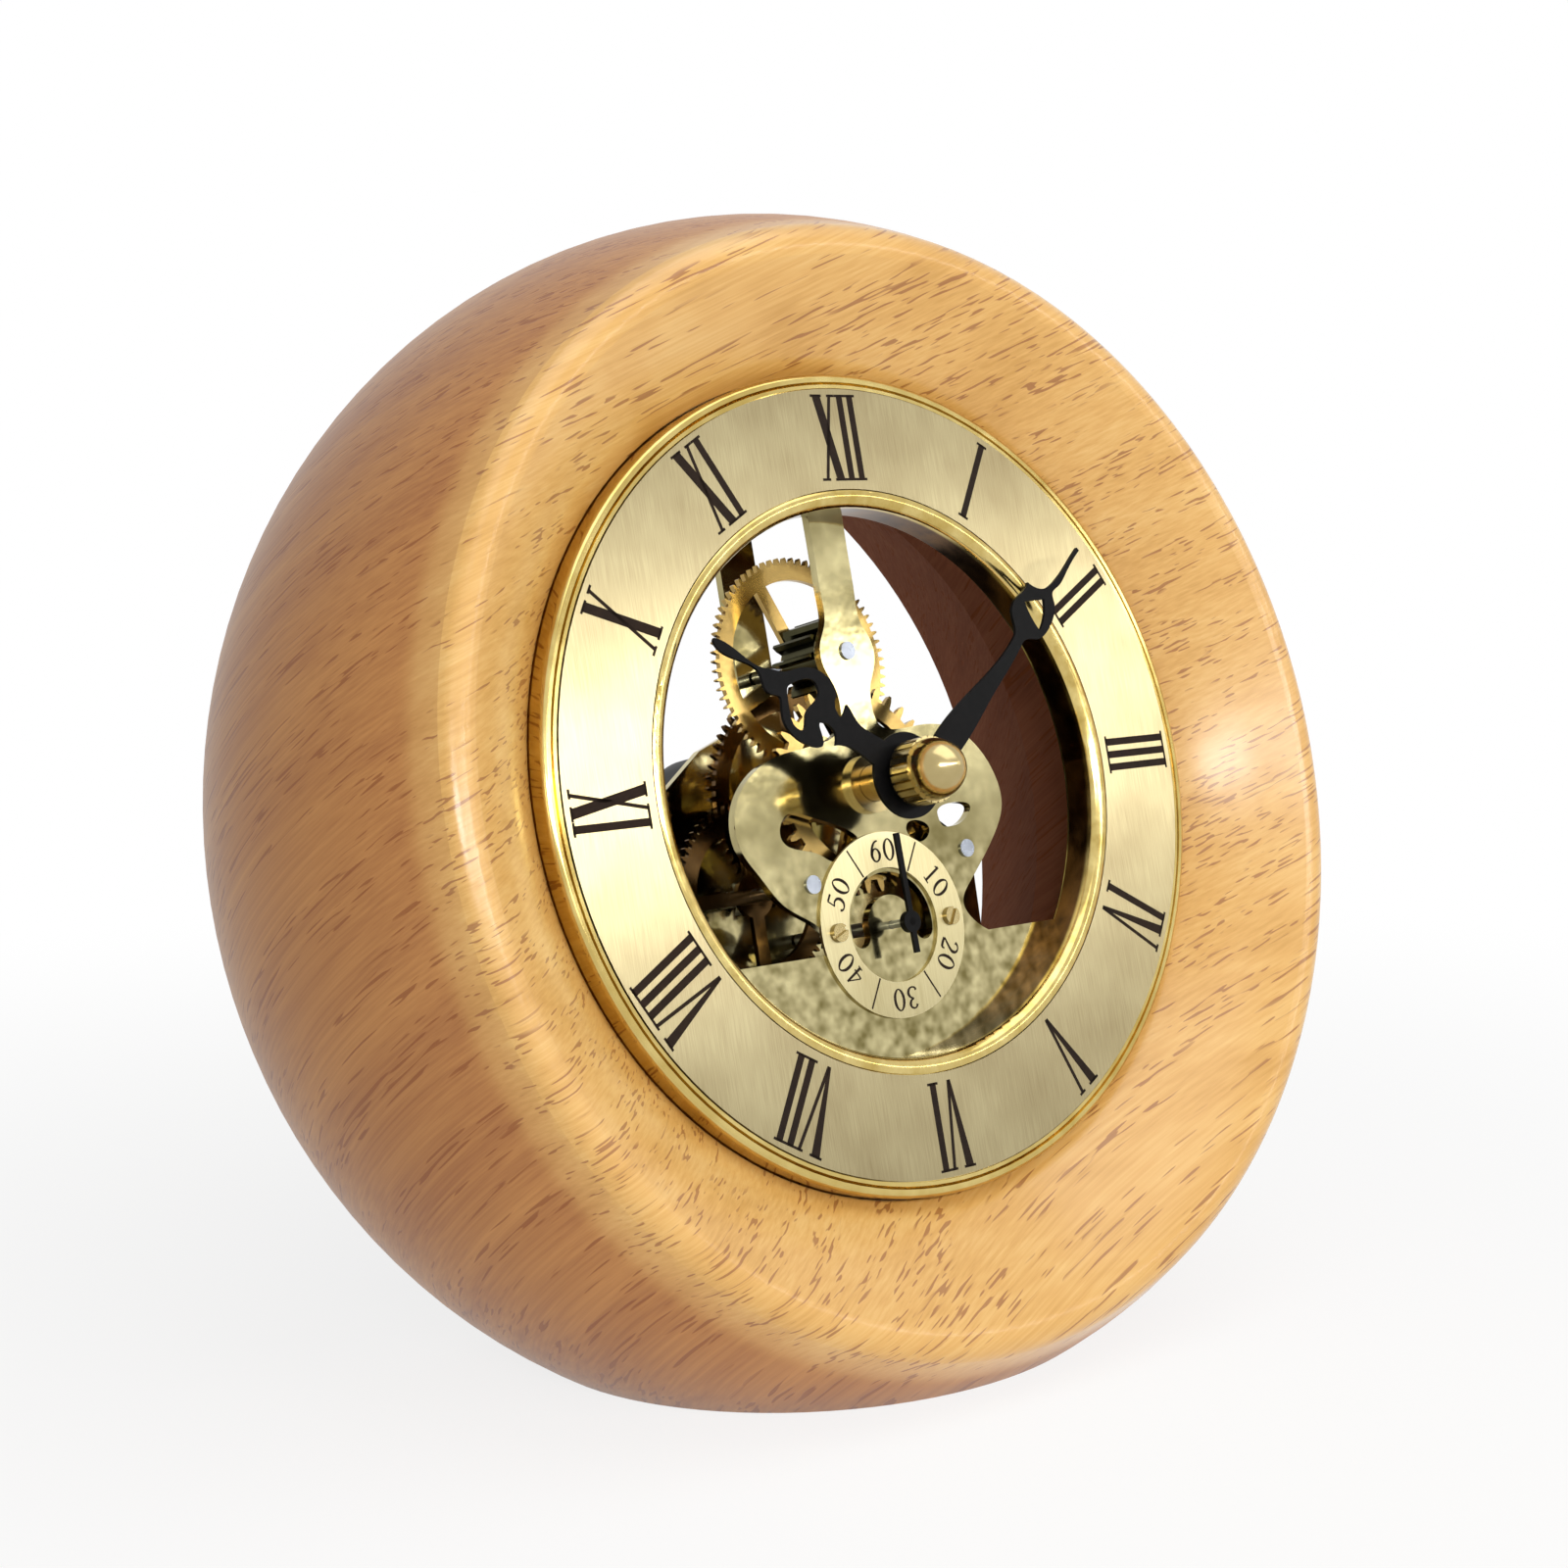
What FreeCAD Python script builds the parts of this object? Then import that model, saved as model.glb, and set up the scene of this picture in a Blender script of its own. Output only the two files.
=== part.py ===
import FreeCAD, Part
import math
import os
import re
import Sketcher

# Wooden desk clock: a turned beech case with a flat base, a gold chapter ring set in its dished
# front, and an open brass gear train between two skeleton plates behind it.
# Millimetres and degrees. World +Z is up, +X is right and the dial faces -Y, leaning back.
# The origin is the middle of the base flat. Inside the clock, places are given in the dial
# frame: across to the right, up along the dial from 6 to 12, and out from the numeral plane.

doc = FreeCAD.newDocument("DeskClock")

# Driving dimensions, and the ones that follow from them
dimensions = {
    # Dial frame
    "dialTilt": 14.6,
    "flatDepth": 6.3,
    "dialHeight": "caseRadius + caseDrop - flatDepth",
    "dialSetback": 7.55,
    # Wood case
    "boreRadius": 45.5,
    "caseRim": 25.8,
    "caseRadius": "bezelRadius + caseRim",
    "caseBulge": 54.6,
    "caseWidest": 20.5,
    "caseBack": 51.0,
    "caseDrop": 1.5,
    "blankFront": 12.0,
    "rimRound": 3.0,
    "dishRound": 50.0,
    "dishFloor": 3.2,
    "dishBeyond": 2.7,
    "dishReach": "caseRadius + dishBeyond",
    "dishTop": 13.9,
    "flareStart": 23.0,
    "flareWide": 14.9,
    "flareRadius": "boreRadius + flareWide",
    "backRound": 1.6,
    # Dial rings
    "seatDepth": 4.8,
    "seatGap": 0.15,
    "bezelStep": 6.0,
    "bezelRadius": "boreRadius + bezelStep",
    "bezelWall": 0.9,
    "bezelRound": 0.7,
    "bezelTop": 0.2,
    "beadWide": 1.1,
    "ledgeWide": 1.9,
    "bezelLedge": "bezelRadius - ledgeWide",
    "grooveWide": 0.35,
    "grooveDeep": 0.5,
    "webThick": 1.0,
    "bandThick": 1.0,
    "spigotRadius": "boreRadius - bandThick - 2 * bandGap",
    "spigotWall": 1.0,
    "spigotDepth": 11.0,
    "bandGap": 0.05,
    "bandWide": 5.5,
    "ringThick": 0.8,
    "ringGap": 0.15,
    "dialWide": 11.0,
    "openingRadius": "boreRadius - dialWide",
    "trimWall": 0.7,
    "trimWide": 2.0,
    "trimFlange": "openingRadius + trimWide",
    "trimRound": 1.5,
    "trimDrop": 0.8,
    # Skeleton plates
    "plateFront": 5.0,
    "plateThick": 1.2,
    "plateClear": 2.4,
    "plateRadius": "spigotRadius - spigotWall - plateClear",
    "windowLap": 0.9,
    "plateWindow": "openingRadius + windowLap",
    "segmentTop": 20.3,
    "plateGap": 17.8,
    "rearStrapHalf": 3.0,
    "rearFoot": 32.0,
    "boreGap": 0.05,
    # Posts, pillars and screws
    "postRadius": 1.6,
    "postInset": 3.0,
    "postCircle": "plateWindow + postInset",
    "pillarRadius": 1.5,
    "collarRadius": 2.1,
    "collarLong": 1.6,
    "screwShank": 1.0,
    "screwHead": 1.9,
    "screwHeadThick": 1.1,
    "slotWide": 0.5,
    "slotDeep": 0.45,
    "rivetRadius": 1.15,
    "rivetRise": 0.3,
    "pivotDimple": 0.3,
    "pivotSink": 0.6,
    "bushRadius": 2.9,
    "bushFlange": 3.7,
    "bushFlangeThick": 0.9,
    # Seconds dial
    "secondsDrop": 17.8,
    "secondsOuter": 11.7,
    "secondsInner": 7.2,
    "secondsThick": 0.4,
    "secondsScrewOut": 9.3,
    "secondsScrewHead": 1.15,
    "secondsScrewShank": 0.6,
    "horseshoeOuter": 6.7,
    "horseshoeInner": 3.8,
    # Arbors and running fits
    "runGap": 0.05,
    "playGap": 0.3,
    "overrun": 2.0,
    "arborRadius": 0.9,
    "pivotRadius": 0.5,
    "centreRadius": 1.2,
    "pipeRadius": 2.3,
    "handSeat": 0.9,
    # Gear train
    "trainModule": 0.4536,
    "fineModule": 0.3882,
    "motionModule": 0.3789,
    "hourModule": 0.71,
    "wheelThick": 0.8,
    "leafLong": 2.0,
    "hourWheelDepth": 7.0,
    "motionWheelDepth": 14.2,
    "thirdWheelDepth": 16.6,
    "centreWheelDepth": 18.5,
    "hubRadius": 2.8,
    "rimWide": 2.1,
    "spokeWide": 1.8,
    # Hands
    "hourHandFront": 2.6,
    "minuteHandFront": 4.0,
    "handThick": 0.45,
    "hourHub": 5.4,
    "minuteHub": 3.9,
    "hourReach": 32.3,
    "minuteReach": 44.0,
    "secondsHandDepth": 1.0,
    "secondsReach": 11.1,
    "secondsTail": 3.9,
    "secondsWide": 0.75,
    "secondsHub": 1.35,
    # Cap nut
    "nutRadius": 4.15,
    "nutKnurlTop": 7.2,
    "nutNeck": 3.8,
    "nutTop": 12.0,
    "nutDome": 4.8,
    "nutTip": 0.25,
    "knurlDeep": 0.3,
    # Drive housing with its battery and knob
    "housingWide": 56.0,
    "housingRise": 9.0,
    "housingShoulder": 1.0,
    "housingFall": 33.0,
    "housingDeep": 16.5,
    "housingRound": 4.0,
    "housingScrewBite": 3.2,
    "housingScrewDrop": 11.5,
    "baySkin": 1.6,
    "contactRoom": 0.65,
    "bayLong": "batteryLong + nubLong + 2 * contactRoom",
    "batteryRadius": 7.1,
    "batteryLong": 49.0,
    "nubLong": 1.3,
    "nubRadius": 2.7,
    "batteryGap": 0.25,
    "contactWide": 8.0,
    "knobRadius": 6.0,
    "knobThick": 4.2,
}

# Tooth counts
centreTeeth = 64
centreLeaves = 18
motionTeeth = 72
drumLeaves = 12
hourTeeth = 36
thirdTeeth = 60
thirdLeaves = 8
secondsLeaves = 8
spokes = 4
knurlCuts = 24

# Tooth form: tip above and root below the pitch circle as shares of the module, and widths at
# the root, the pitch circle and the tip as shares of one tooth pitch.
tipShare = 0.95
rootShare = 1.3
toothWidthShares = (0.50, 0.36, 0.14)

# Where the hands stand at rest, in degrees from 12
hourAngle = -55.33
minuteAngle = 51.77
secondsAngle = -1.1

sheet = doc.addObject("Spreadsheet::Sheet", "Sizes")
for row, alias in enumerate(dimensions, start=1):
    sheet.set("A%d" % row, alias)
    sheet.setAlias("B%d" % row, alias)
for row, content in enumerate(dimensions.values(), start=1):
    sheet.set("B%d" % row, "=" + content if isinstance(content, str) else str(content))
doc.recompute()


def size(alias):
    # One driving dimension, read back from the sheet.
    return float(sheet.get(alias))


def formula(text):
    # A sum of dimension names, each as its cell in the sheet.
    return re.sub(r"[A-Za-z]\w*", lambda found: "Sizes." + found.group(), text)


def amount(text):
    # What such a sum comes to.
    return float(sheet.evalExpression(re.sub(r"[A-Za-z]\w*", lambda found: str(size(found.group())), text)))


# Places in the dial frame
dialTurn = FreeCAD.Rotation(FreeCAD.Vector(1, 0, 0), 90 - size("dialTilt"))
dialCentre = FreeCAD.Vector(0, -size("dialSetback"), size("dialHeight"))
outward = FreeCAD.Vector(0, 0, 1)


def dialPlace(spot=FreeCAD.Vector(), turn=0.0):
    # The dial frame, moved to an arbor and turned clockwise about it.
    frame = FreeCAD.Placement(dialCentre, dialTurn)
    return frame.multiply(FreeCAD.Placement(spot, FreeCAD.Rotation(outward, -turn)))


def meshDistance(teeth, leaves, module):
    return (teeth + leaves) * module / 2


def circlesMeet(firstCentre, firstRadius, secondCentre, secondRadius):
    # The left one of the two points that lie at the given distances from two centres.
    span = secondCentre - firstCentre
    along = (span.Length ** 2 + firstRadius ** 2 - secondRadius ** 2) / (2 * span.Length)
    side = math.sqrt(firstRadius ** 2 - along ** 2)
    forward = FreeCAD.Vector(span).normalize()
    left = FreeCAD.Vector(forward.y, -forward.x, 0)
    return firstCentre + forward * along + left * side


# The pillar at the right mirrors the third arbor, moved by these shares
rivetAcrossShare = 1.25
rivetUpShare = 0.83

centreSpot = FreeCAD.Vector(0, 0, 0)
motionSpot = FreeCAD.Vector(0, meshDistance(motionTeeth, centreLeaves, size("motionModule")), 0)
secondsSpot = FreeCAD.Vector(0, -size("secondsDrop"), 0)
thirdSpot = circlesMeet(centreSpot, meshDistance(centreTeeth, thirdLeaves, size("trainModule")),
                        secondsSpot, meshDistance(thirdTeeth, secondsLeaves, size("fineModule")))
rivetPillarSpot = FreeCAD.Vector(-thirdSpot.x * rivetAcrossShare, thirdSpot.y * rivetUpShare, 0)

# Levels of the two plates, out from the numeral plane
frontFace = -size("plateFront")
frontBack = frontFace - size("plateThick")
rearFace = frontBack - size("plateGap")
rearBack = rearFace - size("plateThick")


# Building helpers
def addBody(label, place):
    body = doc.addObject("PartDesign::Body", label)
    body.Label = label
    body.Placement = place
    return body


def addSketch(body, name, plane):
    sketch = body.newObject("Sketcher::SketchObject", name)
    support = [part for part in body.Origin.OriginFeatures if part.Role == plane][0]
    sketch.AttachmentSupport = [(support, "")]
    sketch.MapMode = "FlatFace"
    return sketch


def holdPoint(sketch, line, point, axis, text):
    # Holds one end of a line at a sum of named sizes, across or up the sketch.
    if text == "0":
        sketch.addConstraint(Sketcher.Constraint("PointOnObject", line, point, -2 if axis == "X" else -1))
        return
    index = sketch.addConstraint(Sketcher.Constraint("Distance" + axis, -1, 1, line, point, amount(text)))
    sketch.setExpression("Constraints[%d]" % index, formula(text))


def addProfile(sketch, corners):
    # A closed outline through corners given as sums of named sizes. A third entry names the
    # radius of the arc that leaves a corner, with a minus sign where it bulges to the right.
    spots = [FreeCAD.Vector(amount(corner[0]), amount(corner[1]), 0) for corner in corners]
    runs = []
    for here, there, corner in zip(spots, spots[1:] + spots[:1], corners):
        if len(corner) == 2:
            runs.append((sketch.addGeometry(Part.LineSegment(here, there), False), 1, 2))
            continue
        # Arcs run anticlockwise, so one that bulges to the left is drawn backwards.
        backwards = not corner[2].startswith("-")
        half = (there - here) / 2
        inward = FreeCAD.Vector(half.y, -half.x, 0).normalize() * (1 if backwards else -1)
        radius = amount(corner[2].lstrip("-"))
        centre = here + half + inward * math.sqrt(radius ** 2 - half.Length ** 2)
        start, end = [spot - centre for spot in ((there, here) if backwards else (here, there))]
        startTurn = math.atan2(start.y, start.x)
        sweep = (math.atan2(end.y, end.x) - startTurn) % (2 * math.pi)
        arc = Part.ArcOfCircle(Part.Circle(centre, outward, radius), startTurn, startTurn + sweep)
        line = sketch.addGeometry(arc, False)
        runs.append((line, 2, 1) if backwards else (line, 1, 2))
    for (line, start, end), (after, afterStart, afterEnd) in zip(runs, runs[1:] + runs[:1]):
        sketch.addConstraint(Sketcher.Constraint("Coincident", line, end, after, afterStart))
    for (line, start, end), corner in zip(runs, corners):
        holdPoint(sketch, line, start, "X", corner[0])
        holdPoint(sketch, line, start, "Y", corner[1])
        if len(corner) == 3:
            text = corner[2].lstrip("-")
            index = sketch.addConstraint(Sketcher.Constraint("Radius", line, amount(text)))
            sketch.setExpression("Constraints[%d]" % index, formula(text))


def addTurning(body, kind, corners, name, axisDrop=None):
    # Turns a profile of radii and levels about the piece's own axis, added or cut away.
    sketch = addSketch(body, name + "Profile", "XZ_Plane")
    if axisDrop:
        sketch.setExpression("AttachmentOffset.Base.z", formula(axisDrop))
    addProfile(sketch, corners)
    turning = body.newObject("PartDesign::" + kind, name)
    turning.Profile = sketch
    turning.ReferenceAxis = (sketch, ["V_Axis"])
    turning.Angle = 360
    # A cut is turned both ways from its profile, clear of where the turned surface closes.
    turning.Midplane = kind == "Groove"
    before = 0 if body.Shape.isNull() else body.Shape.Volume
    body.Tip = turning
    doc.recompute()
    if body.Shape.Volume == before:
        raise RuntimeError(name + " leaves its piece as it was")


def turnedBody(label, corners, spot=centreSpot):
    body = addBody(label, dialPlace(spot))
    addTurning(body, "Revolution", corners, label + "Turning")
    return body


def ringEdges(shape, radius, level):
    # Names of the round edges with a given radius at a given level.
    near = size("runGap")
    names = []
    for number, edge in enumerate(shape.Edges, start=1):
        if edge.Curve.TypeId != "Part::GeomCircle":
            continue
        if abs(edge.Curve.Radius - radius) < near and abs(edge.Curve.Center.z - level) < near:
            names.append("Edge%d" % number)
    return names


def roundEdges(body, edges, radiusText):
    base = body.Tip
    fillet = body.newObject("PartDesign::Fillet", body.Label + "Round" + radiusText)
    fillet.Base = (base, edges)
    fillet.setExpression("Radius", formula(radiusText))
    body.Tip = fillet
    doc.recompute()


def addHole(body, name, radiusText, upText="0"):
    # A hole right through, parallel to the dial's axis.
    sketch = addSketch(body, name + "Circle", "XY_Plane")
    sketch.addGeometry(Part.Circle(FreeCAD.Vector(0, amount(upText), 0), outward, amount(radiusText)), False)
    holdPoint(sketch, 0, 3, "X", "0")
    holdPoint(sketch, 0, 3, "Y", upText)
    index = sketch.addConstraint(Sketcher.Constraint("Radius", 0, amount(radiusText)))
    sketch.setExpression("Constraints[%d]" % index, formula(radiusText))
    pocket = body.newObject("PartDesign::Pocket", name)
    pocket.Profile = sketch
    pocket.Type = "ThroughAll"
    pocket.SideType = "Symmetric"
    body.Tip = pocket
    doc.recompute()


def addShape(label, shape, place):
    piece = doc.addObject("Part::Feature", label)
    piece.Label = label
    piece.Shape = shape
    piece.Placement = place
    return piece


def rod(radius, bottom, top, spot=centreSpot):
    return Part.makeCylinder(radius, top - bottom, FreeCAD.Vector(spot.x, spot.y, bottom), outward)


def slab(outline, bottom, top):
    # A flat outline raised between two levels.
    face = Part.Face(outline)
    face.translate(FreeCAD.Vector(0, 0, bottom))
    return face.extrude(FreeCAD.Vector(0, 0, top - bottom))


def aroundPoint(radius, degrees, centre=centreSpot):
    turn = math.radians(degrees)
    return centre + FreeCAD.Vector(radius * math.cos(turn), radius * math.sin(turn), 0)


def smoothOutline(stretches, scale):
    # A closed outline of stretches given as shares of a size: two points make a straight run
    # and more make a smooth curve.
    edges = []
    for stretch in stretches:
        points = [FreeCAD.Vector(across * scale, up * scale, 0) for across, up in stretch]
        if len(points) == 2:
            edges.append(Part.makeLine(points[0], points[1]))
            continue
        curve = Part.BSplineCurve()
        curve.interpolate(points)
        edges.append(curve.toShape())
    return Part.Wire(edges)


def closedCurve(points, scale):
    # One smooth curve round a closed outline given as shares of a size.
    curve = Part.BSplineCurve()
    spots = [FreeCAD.Vector(across * scale, up * scale, 0) for across, up in points]
    curve.interpolate(Points=spots, PeriodicFlag=True)
    return Part.Wire([curve.toShape()])


def arcSlot(centre, inner, outer, start, end):
    # A slot along a circle, with round ends.
    cap = (outer - inner) / 2
    middle = (outer + inner) / 2
    halfway = (start + end) / 2
    capTurn = math.degrees(cap / middle)
    edges = [
        Part.Arc(aroundPoint(outer, start, centre), aroundPoint(outer, halfway, centre),
                 aroundPoint(outer, end, centre)).toShape(),
        Part.Arc(aroundPoint(outer, end, centre), aroundPoint(middle, end + capTurn, centre),
                 aroundPoint(inner, end, centre)).toShape(),
        Part.Arc(aroundPoint(inner, end, centre), aroundPoint(inner, halfway, centre),
                 aroundPoint(inner, start, centre)).toShape(),
        Part.Arc(aroundPoint(inner, start, centre), aroundPoint(middle, start - capTurn, centre),
                 aroundPoint(outer, start, centre)).toShape(),
    ]
    return Part.Wire(edges)


def gearOutline(teeth, module, phase):
    # Straight-sided teeth that narrow to their tips, with one tooth centred on the phase angle.
    pitch = 360 / teeth
    pitchRadius = teeth * module / 2
    radii = (pitchRadius - rootShare * module, pitchRadius, pitchRadius + tipShare * module)
    points = []
    for tooth in range(teeth):
        middle = phase + tooth * pitch
        for radius, share in zip(radii, toothWidthShares):
            points.append(aroundPoint(radius, middle - share * pitch / 2))
        for radius, share in zip(radii[::-1], toothWidthShares[::-1]):
            points.append(aroundPoint(radius, middle + share * pitch / 2))
    points.append(points[0])
    return Part.makePolygon(points)


def meshedPhase(spot, teeth, phase, otherSpot, otherTeeth):
    # The phase that puts the other gear's gap at this gear's tooth on the line between them.
    line = math.degrees(math.atan2(otherSpot.y - spot.y, otherSpot.x - spot.x))
    ahead = (phase - line) * teeth / 360
    return line + 180 - ahead * 360 / otherTeeth + 180 / otherTeeth


def spokedWheel(teeth, module, phase, level, boreRadius):
    # A toothed wheel, crossed out between its rim and hub.
    thick = size("wheelThick")
    wheel = slab(gearOutline(teeth, module, phase), level - thick, level)
    rimInner = teeth * module / 2 - rootShare * module - size("rimWide")
    hub = size("hubRadius")
    opening = rod(rimInner, level - thick, level).cut(rod(hub, level - thick, level))
    for spoke in range(spokes):
        bar = Part.makeBox(rimInner, size("spokeWide"), thick,
                           FreeCAD.Vector(0, -size("spokeWide") / 2, level - thick))
        bar.rotate(centreSpot, outward, spoke * 360 / spokes + phase)
        opening = opening.cut(bar)
    return wheel.cut(opening).cut(rod(boreRadius, level - thick, level))


def pinion(leaves, module, phase, bottom, top, boreRadius):
    body = slab(gearOutline(leaves, module, phase), bottom, top)
    return body.cut(rod(boreRadius, bottom, top))


# Phases that bring every pair of wheels into mesh at rest
centrePhase = 0.0
thirdLeafPhase = meshedPhase(centreSpot, centreTeeth, centrePhase, thirdSpot, thirdLeaves)
thirdPhase = 0.0
secondsLeafPhase = meshedPhase(thirdSpot, thirdTeeth, thirdPhase, secondsSpot, secondsLeaves)
centreLeafPhase = 0.0
motionPhase = meshedPhase(centreSpot, centreLeaves, centreLeafPhase, motionSpot, motionTeeth)
drumPhase = 0.0
hourPhase = meshedPhase(motionSpot, drumLeaves, drumPhase, centreSpot, hourTeeth)


# Wood case
def makeCase():
    blank = addBody("case_blank", dialPlace())
    outerBack = "%r" % (size("caseRadius") - size("caseBulge") + math.sqrt(
        size("caseBulge") ** 2 - (size("caseBack") - size("caseWidest")) ** 2))
    outerFront = "%r" % (size("caseRadius") - size("caseBulge") + math.sqrt(
        size("caseBulge") ** 2 - (size("blankFront") + size("caseWidest")) ** 2))
    addTurning(blank, "Revolution", [
        ("0", "blankFront"),
        (outerFront, "blankFront", "caseBulge"),
        (outerBack, "-caseBack"),
        ("0", "-caseBack"),
    ], "CaseTurning", "caseDrop")
    addTurning(blank, "Groove", [
        ("0", "-seatDepth"),
        ("bezelRadius + seatGap", "-seatDepth"),
        ("bezelRadius + seatGap", "-dishFloor", "dishRound"),
        ("dishReach", "dishTop"),
        ("dishReach", "blankFront + overrun"),
        ("0", "blankFront + overrun"),
    ], "DishTurning")
    rim = ["Edge%d" % number for number, edge in enumerate(blank.Tip.Shape.Edges, start=1)
           if edge.BoundBox.ZMin > 0]
    roundEdges(blank, rim, "rimRound")
    roundEdges(blank, ringEdges(blank.Tip.Shape, float(outerBack), -size("caseBack")), "backRound")
    addTurning(blank, "Groove", [
        ("0", "-flareStart"),
        ("boreRadius", "-flareStart"),
        ("flareRadius", "-caseBack"),
        ("flareRadius", "-caseBack - overrun"),
        ("0", "-caseBack - overrun"),
    ], "FlareTurning")
    addHole(blank, "CaseBore", "boreRadius")
    # The case is planed flat where it stands.
    plane = doc.addObject("Part::Box", "BasePlane")
    reach = size("caseRadius") + size("caseBack")
    plane.Length = 2 * reach
    plane.Width = 2 * reach
    plane.Height = reach
    plane.Placement.Base = FreeCAD.Vector(-reach, -reach, -reach)
    case = doc.addObject("Part::Cut", "wood_case")
    case.Base = blank
    case.Tool = plane
    case.Label = "wood_case"
    return case


# Dial rings
def makeBezel():
    bezel = turnedBody("bezel_ring", [
        ("bezelRadius", "-seatDepth"),
        ("bezelRadius", "-bezelTop"),
        ("bezelRadius - beadWide", "-bezelTop"),
        ("bezelRadius - beadWide - grooveWide / 2", "-bezelTop - grooveDeep"),
        ("bezelRadius - beadWide - grooveWide", "-bezelTop"),
        ("bezelLedge", "-bezelTop"),
        ("bezelLedge", "-ringThick"),
        ("openingRadius + trimWall + ringGap", "-ringThick"),
        ("openingRadius + trimWall + ringGap", "-ringThick - webThick"),
        ("spigotRadius - spigotWall", "-ringThick - webThick"),
        ("spigotRadius - spigotWall", "-spigotDepth"),
        ("spigotRadius", "-spigotDepth"),
        ("spigotRadius", "-ringThick - webThick"),
        ("bezelRadius - bezelWall", "-ringThick - webThick"),
        ("bezelRadius - bezelWall", "-seatDepth"),
    ])
    roundEdges(bezel, ringEdges(bezel.Tip.Shape, size("bezelRadius"), -size("bezelTop")), "bezelRound")
    return bezel


def makeBand():
    return turnedBody("retaining_band", [
        ("spigotRadius + bandGap", "-seatDepth - bandGap"),
        ("boreRadius - bandGap", "-seatDepth - bandGap"),
        ("boreRadius - bandGap", "-seatDepth - bandGap - bandWide"),
        ("spigotRadius + bandGap", "-seatDepth - bandGap - bandWide"),
    ])


def makeChapterRing():
    return turnedBody("chapter_ring", [
        ("trimFlange + ringGap", "0"),
        ("bezelLedge - ringGap", "0"),
        ("bezelLedge - ringGap", "-ringThick"),
        ("trimFlange + ringGap", "-ringThick"),
    ])


def makeTrimRing():
    return turnedBody("inner_trim_ring", [
        ("openingRadius", "-trimDrop", "trimRound"),
        ("trimFlange", "0"),
        ("trimFlange", "-ringThick"),
        ("openingRadius + trimWall", "-ringThick"),
        ("openingRadius + trimWall", "-plateFront"),
        ("openingRadius", "-plateFront"),
    ])


# Skeleton plates
strapShares = [(0.65, 2.20), (0.64, 1.72), (0.64, 1.42), (0.70, 1.20), (0.93, 1.09), (1.03, 0.98),
               (0.93, 0.86), (0.68, 0.73), (0.60, 0.60), (0.70, 0.46)]
strapBulgeShare = 0.252
leftLobeShares = [(-0.299, 0.151), (-0.525, 0.081), (-0.629, -0.049), (-0.626, -0.188),
                  (-0.565, -0.281), (-0.478, -0.394), (-0.336, -0.487), (-0.30, -0.64)]
rightLobeShares = [(0.300, 0.200), (0.510, 0.145), (0.626, -0.014), (0.638, -0.128),
                   (0.577, -0.235), (0.412, -0.403), (0.365, -0.464), (0.44, -0.574),
                   (0.60, -0.60)]
# The three slots below the hub, the widest at the left, and the ends of the horseshoe slot
slotShares = (
    [(-0.438, -0.113), (-0.400, -0.075), (-0.290, -0.096), (-0.148, -0.148), (-0.096, -0.188),
     (-0.157, -0.226), (-0.226, -0.261), (-0.275, -0.235), (-0.380, -0.203), (-0.435, -0.174)],
    [(0.145, -0.168), (0.206, -0.151), (0.255, -0.188), (0.241, -0.214), (0.188, -0.229),
     (0.154, -0.206)],
    [(0.307, -0.136), (0.414, -0.101), (0.475, -0.122), (0.432, -0.171), (0.362, -0.188),
     (0.322, -0.180)],
)
horseshoeEnds = (-10, 190)
rearShoulderShares = [(0.27, 0.20), (0.46, 0.06), (0.80, -0.20)]
postAngles = (30, 150, 270)
pillarShares = ((0.0, 1.0), (-0.64, -0.72), (0.64, -0.72))

# How far each screw's slot is turned
postScrewTurns = (40, 90, 140)
secondsScrewTurns = (25, 60)
housingScrewTurns = (30, 110)


def postSpots():
    return [aroundPoint(size("postCircle"), angle) for angle in postAngles]


def pillarSpots():
    reach = size("postCircle")
    spots = [FreeCAD.Vector(across * reach, up * reach, 0) for across, up in pillarShares]
    return spots + [rivetPillarSpot]


def drillAll(shape, radius, spots, bottom, top):
    for spot in spots:
        shape = shape.cut(rod(radius, bottom, top, spot))
    return shape


def heartOutline():
    # Strap and heart in one: the strap swells round the upper pivot and flares at the hub.
    reach = size("openingRadius")
    swell = strapBulgeShare * motionSpot.y
    sides = []
    for hand, lobe in ((-1, leftLobeShares), (1, rightLobeShares)):
        strap = [(hand * wide * swell, rise * motionSpot.y) for wide, rise in strapShares]
        sides.append(strap + [(across * reach, up * reach) for across, up in lobe])
    left, right = sides
    return smoothOutline([left, [left[-1], right[-1]], right[::-1], [right[0], left[0]]], 1)


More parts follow.
